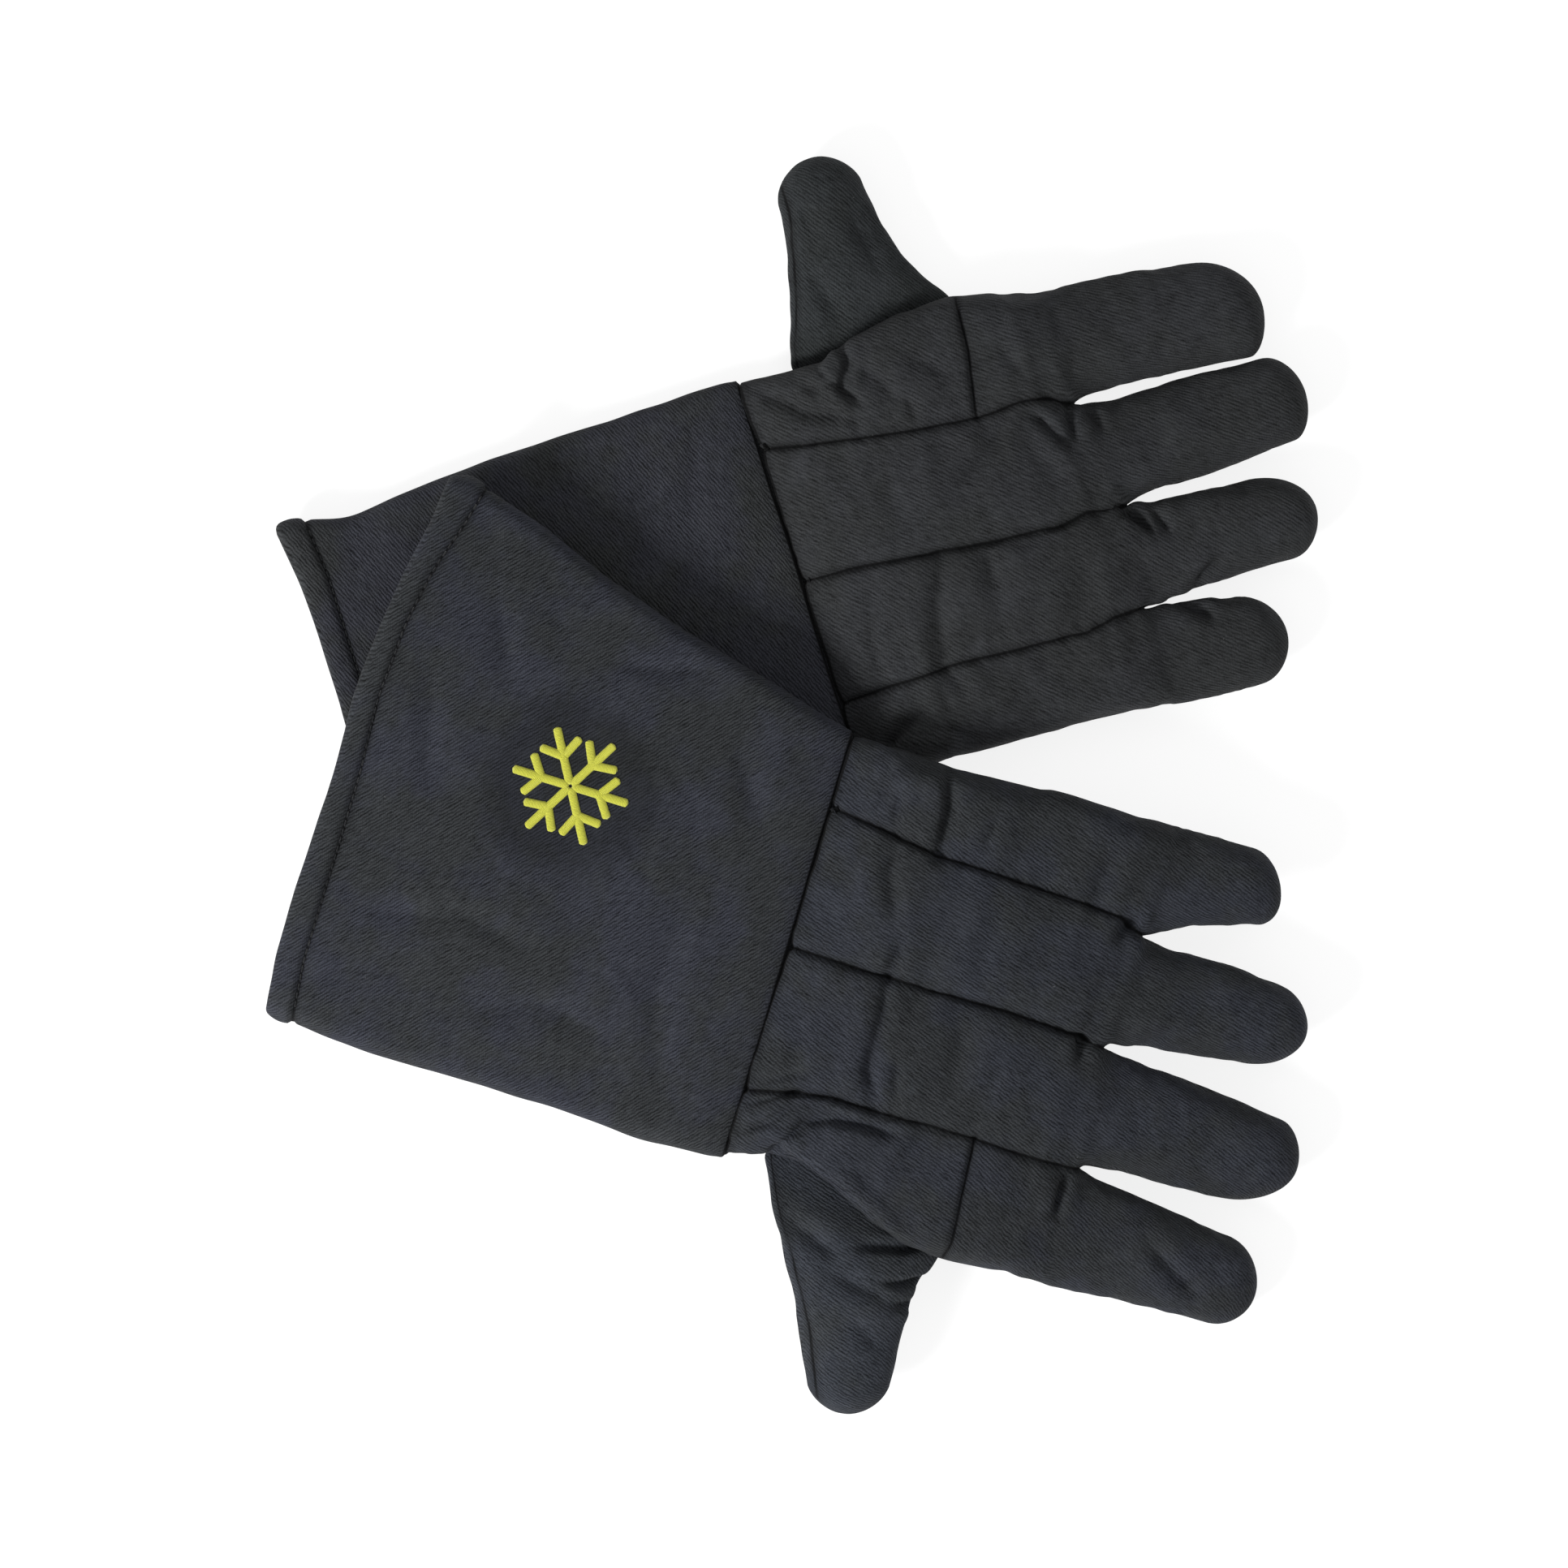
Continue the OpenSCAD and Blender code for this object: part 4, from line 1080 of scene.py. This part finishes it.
def lay_bars(glove, cuff, name, bars, width, crown, step, face=BACK):
    """Rounded bars of thread laid on the cuff's own surface"""
    skin = cuff.data
    tree = BVHTree.FromPolygons([v.co for v in skin.vertices], [p.vertices for p in skin.polygons])
    arc = [heading(math.pi * (1 - k / BAR_SIDES)) for k in range(BAR_SIDES + 1)]
    ring = BAR_SIDES + 3
    verts, faces, uvs = [], [], []
    for number, (start, direction, length) in enumerate(bars):
        side_way = np.array([-direction[1], direction[0]])
        steps = max(int(length / step), 6)
        first = len(verts)
        for i in range(steps + 1):
            s = length * i / steps
            end = min(s, length - s)
            full = math.sqrt(max(1 - (1 - min(end / (width / 3), 1)) ** 2, 0.02))
            half = width / 2 * full * (1 + 0.05 * noise.noise(Vector((s / 0.6, number * 7.7, 0))))
            foot = [(0.96 * half, -0.7), (-0.96 * half, -0.7)]
            for y, z in [(y * half, z * crown * full) for y, z in arc] + foot:
                verts.append((*(start + direction * s + side_way * y), z))
                uvs.append((s + number * 31.0, y))
        for i in range(steps):
            for k in range(ring):
                a, b = first + i * ring + k, first + i * ring + (k + 1) % ring
                faces.append((a, b, b + ring, a + ring))
        faces.append(tuple(first + k for k in range(ring))[::-1])
        faces.append(tuple(first + steps * ring + k for k in range(ring)))
    flat = np.array(verts)
    above = glove.place(flat * [1, 1, 0] + [0, 0, BEND_W + LAY_FROM * face], cuff=True)
    placed = [tree.ray_cast(Vector(point), Vector((0, 0, -face)))[0] for point in above]
    obj = new_object(name, np.array(placed) + flat * [0, 0, face * MM], faces)
    smooth_faces(obj.data)
    add_uv(obj.data, "weave", np.array(uvs)[numbers(obj.data.loops, "vertex_index")])
    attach(obj, f"{glove.side}_cuff")
    return obj


def build_threads(glove, cuff, dark_thread, yellow_thread):
    bars = stitch_bars(glove.side)
    for face, name in ((BACK, "back"), (PALM, "palm")):
        stitches = lay_bars(glove, cuff, f"{glove.side}_hem_stitches_{name}", bars,
                            STITCH_W, STITCH_H, STITCH / 6, face)
        dress(stitches, "hem_twill", dark_thread)
    if glove.side == "left":
        badge = lay_bars(glove, cuff, "left_cuff_embroidery", satin_bars(), BAR_W, BAR_H, 0.45)
        dress(badge, "embroidery_thread", yellow_thread)
        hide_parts("left_cuff_badge")


# ---- Materials ----

class Nodes:
    """Short-hand for building a node material"""

    def __init__(self, name):
        self.material = bpy.data.materials.new(name)
        self.material.use_nodes = True
        self.tree = self.material.node_tree
        self.tree.nodes.clear()
        self.shader = self.add("ShaderNodeBsdfPrincipled")
        self.fill(self.add("ShaderNodeOutputMaterial"), Surface=self.shader.outputs["BSDF"])

    def add(self, kind, **values):
        node = self.tree.nodes.new(kind)
        for key, value in values.items():
            setattr(node, key, value)
        return node

    def link(self, a, b):
        self.tree.links.new(a, b)

    def value(self, target, source):
        if hasattr(source, "links"):
            self.link(source, target)
        else:
            target.default_value = source

    def fill(self, node, **values):
        """Values or links for a node's inputs"""
        for name, source in values.items():
            self.value(node.inputs[name.replace("_", " ")], source)

    def math(self, operation, *sources):
        node = self.add("ShaderNodeMath", operation=operation)
        for target, source in zip(node.inputs, sources):
            self.value(target, source)
        return node.outputs[0]

    def plus(self, a, b):
        return self.math("ADD", a, b)

    def times(self, a, b, more=0.0):
        return self.math("MULTIPLY_ADD", a, b, more)

    def wave(self, x, length):
        """A sine of x, from 0 to 1"""
        return self.times(self.math("SINE", self.times(x, 2 * math.pi / length)), 0.5, 0.5)

    def mix(self, factor, a, b):
        node = self.add("ShaderNodeMix", data_type="RGBA")
        for key, source in (("Factor", factor), (6, a), (7, b)):
            self.value(node.inputs[key], source)
        return node.outputs[2]

    def noise(self, vector, scale, detail=2.0, roughness=0.5):
        node = self.add("ShaderNodeTexNoise")
        self.fill(node, Vector=vector, Scale=scale, Detail=detail, Roughness=roughness)
        return node.outputs["Fac"]

    def ramp(self, source, low, high):
        node = self.add("ShaderNodeMapRange", interpolation_type="SMOOTHSTEP")
        self.fill(node, Value=source, From_Min=low, From_Max=high)
        return node.outputs["Result"]

    def uv(self, name):
        """A UV layer, and its two coordinates"""
        layer = self.add("ShaderNodeUVMap", uv_map=name).outputs["UV"]
        split = self.add("ShaderNodeSeparateXYZ")
        self.link(layer, split.inputs["Vector"])
        return layer, split.outputs["X"], split.outputs["Y"]

    def bump(self, height, strength, depth):
        node = self.add("ShaderNodeBump")
        self.fill(node, Height=height, Strength=strength, Distance=depth)
        self.fill(self.shader, Normal=node.outputs["Normal"])


def twill(name, base, tint, pitch, wales, cross=1.0, pressed=None):
    """Twill cloth: diagonal wales with yarn bumps along them, slub, colour drift, lint and wear,
    and a dark line along each seam. The stiffened patch around the place `pressed` is darker."""
    n = Nodes(name)
    uv, x, y = n.uv("weave")
    wobble = n.times(n.math("SUBTRACT", n.noise(uv, 0.45, 3.0), 0.5), 1.5)
    wale = n.wave(n.plus(y, wobble), pitch)
    yarn = n.wave(n.plus(x, n.times(y, 0.6)), pitch * 0.8)
    weave = n.times(n.math("POWER", wale, 0.8), n.times(yarn, 0.35, 0.65))
    _, first, second = n.uv("seam")
    first, second = n.math("ABSOLUTE", first), n.math("ABSOLUTE", second)
    ragged = n.times(n.noise(uv, 1.1), 0.5, -0.25)
    first_open = n.ramp(n.plus(first, ragged), 0.15, 0.7)
    second_open = n.times(n.ramp(n.plus(second, ragged), 0.15, 0.8), cross, 1 - cross)
    open_cloth = n.times(first_open, second_open)
    soft_shade = n.ramp(n.math("MINIMUM", first, second), 0.3, 3.5)
    position = n.add("ShaderNodeTexCoord").outputs["Object"]
    stretch = n.add("ShaderNodeCombineXYZ")
    n.fill(stretch, X=n.times(x, 0.16), Y=y)
    streak = n.noise(stretch.outputs["Vector"], 1.3, 1.0)
    slub = n.noise(uv, 1.3, 2.0, 0.7)
    fuzz = n.noise(uv, 6.0, 1.0, 0.6)
    colour = n.mix(n.ramp(n.noise(position, 26.0, 4.0, 0.6), 0.4, 0.6), (*base, 1), (*tint, 1))
    dark = n.mix(0.85, colour, (0.0, 0.0, 0.0, 1))
    light = n.mix(0.10, colour, (0.30, 0.315, 0.35, 1))
    level = n.plus(n.times(slub, 0.9, n.times(fuzz, 0.8, -1.1)), 0.48 * (0.75 - wales))
    cloth = n.mix(n.times(weave, wales, n.times(streak, 0.95, level)), dark, light)
    if pressed is not None:
        away = n.add("ShaderNodeVectorMath", operation="DISTANCE")
        n.link(uv, away.inputs[0])
        away.inputs[1].default_value = (*pressed, 0.0)
        ragged_edge = n.times(n.noise(uv, 0.06), 16.0, -8.0)
        fade = n.ramp(n.plus(away.outputs["Value"], ragged_edge), 26.0, 40.0)
        cloth = n.mix(fade, n.mix(0.42, cloth, (0.006, 0.0065, 0.006, 1)), cloth)
    rubbed = n.ramp(n.noise(position, 55.0), 0.48, 0.75)
    worn = n.mix(n.times(rubbed, 0.10), cloth, (0.075, 0.08, 0.09, 1))
    lint = n.math("GREATER_THAN", n.noise(position, 900.0, 1.0), 0.80)
    spotted = n.mix(n.times(lint, 0.35), worn, (0.16, 0.16, 0.16, 1))
    shaded = n.mix(n.times(soft_shade, 0.3, 0.7), (0, 0, 0, 1), spotted)
    final = n.mix(n.times(open_cloth, 0.88, 0.12), (0.001, 0.001, 0.0012, 1), shaded)
    n.fill(n.shader, Base_Color=final, Roughness=n.times(weave, -0.1, 0.95),
           Specular_IOR_Level=0.12, Sheen_Weight=0.02, Sheen_Roughness=0.5)
    relief = n.plus(weave, n.times(fuzz, 0.8, n.times(slub, 0.5)))
    n.bump(n.times(relief, open_cloth), wales, 0.0004)
    return n.material


def satin(name, dark, light, sheen):
    """Satin stitch: threads laid side by side across each bar"""
    n = Nodes(name)
    uv, x, _ = n.uv("weave")
    thread = n.wave(n.plus(x, n.times(n.noise(uv, 0.9), 0.5)), THREAD_PITCH)
    uneven = n.times(n.noise(uv, 2.4), 0.5)
    colour = n.mix(n.times(thread, 0.6, uneven), (*dark, 1), (*light, 1))
    n.fill(n.shader, Base_Color=colour, Roughness=0.5, Sheen_Weight=sheen, Anisotropic=0.5)
    n.bump(n.plus(thread, uneven), 0.8, 0.0003)
    return n.material


# ---- Scene ----

def build_stage():
    """Pale floor, two soft lights and a camera straight above"""
    bpy.ops.mesh.primitive_plane_add(size=8.0, location=(0, 0, CAD_BOX[0].z - 0.0003))
    floor = bpy.context.object
    floor.name = "floor"
    n = Nodes("floor")
    n.fill(n.shader, Base_Color=(0.3, 0.3, 0.3, 1), Roughness=0.9, Specular_IOR_Level=0.1,
           Emission_Color=(1, 1, 1, 1), Emission_Strength=0.83)
    floor.data.materials.append(n.material)
    scene = bpy.context.scene
    scene.world = bpy.data.worlds.new("studio")
    scene.world.use_nodes = True
    nodes, links = scene.world.node_tree.nodes, scene.world.node_tree.links
    nodes["Background"].inputs["Color"].default_value = (1, 1, 1, 1)
    seen = nodes.new("ShaderNodeMapRange")      # the camera sees white, and the cloth half of it
    links.new(nodes.new("ShaderNodeLightPath").outputs["Is Camera Ray"], seen.inputs["Value"])
    seen.inputs["To Min"].default_value = 0.5
    links.new(seen.outputs["Result"], nodes["Background"].inputs["Strength"])
    for name, (place, size, power) in LIGHTS.items():
        data = bpy.data.lights.new(name, "AREA")
        data.size = size
        data.energy = power
        light = link(name, data)
        light.location = place
        light.rotation_euler = (-Vector(place)).to_track_quat("-Z", "Y").to_euler()
    lens = bpy.data.cameras.new("camera")
    lens.lens, lens.sensor_width = LENS, SENSOR
    lens.clip_end = 50
    camera = link("camera", lens)
    camera.location = (*VIEW_AT, VIEW_WIDTH / (SENSOR / LENS) + VIEW_H)
    scene.camera = camera
    scene.view_settings.view_transform = "Standard"


build_stage()
hem_thread = satin("hem_thread", *HEM_THREAD)
badge_thread = satin("embroidery_thread", *BADGE_THREAD)
for glove in (Glove("right"), Glove("left")):
    side = glove.side
    badge_uv = turned(BADGE_AT, GRAIN[side]["cuff"]) if side == "left" else None
    cuff_cloth = twill(f"{side}_cuff_twill", *CLOTHS[side]["cuff"], HEM_DARK, badge_uv)
    lining_cloth = twill(f"{side}_lining", *LINING)
    build_hand(glove, twill(f"{side}_hand_twill", *CLOTHS[side]["hand"]))
    build_thumb(glove, twill(f"{side}_thumb_twill", *CLOTHS[side]["thumb"]))
    build_threads(glove, build_cuff(glove, cuff_cloth, lining_cloth), hem_thread, badge_thread)
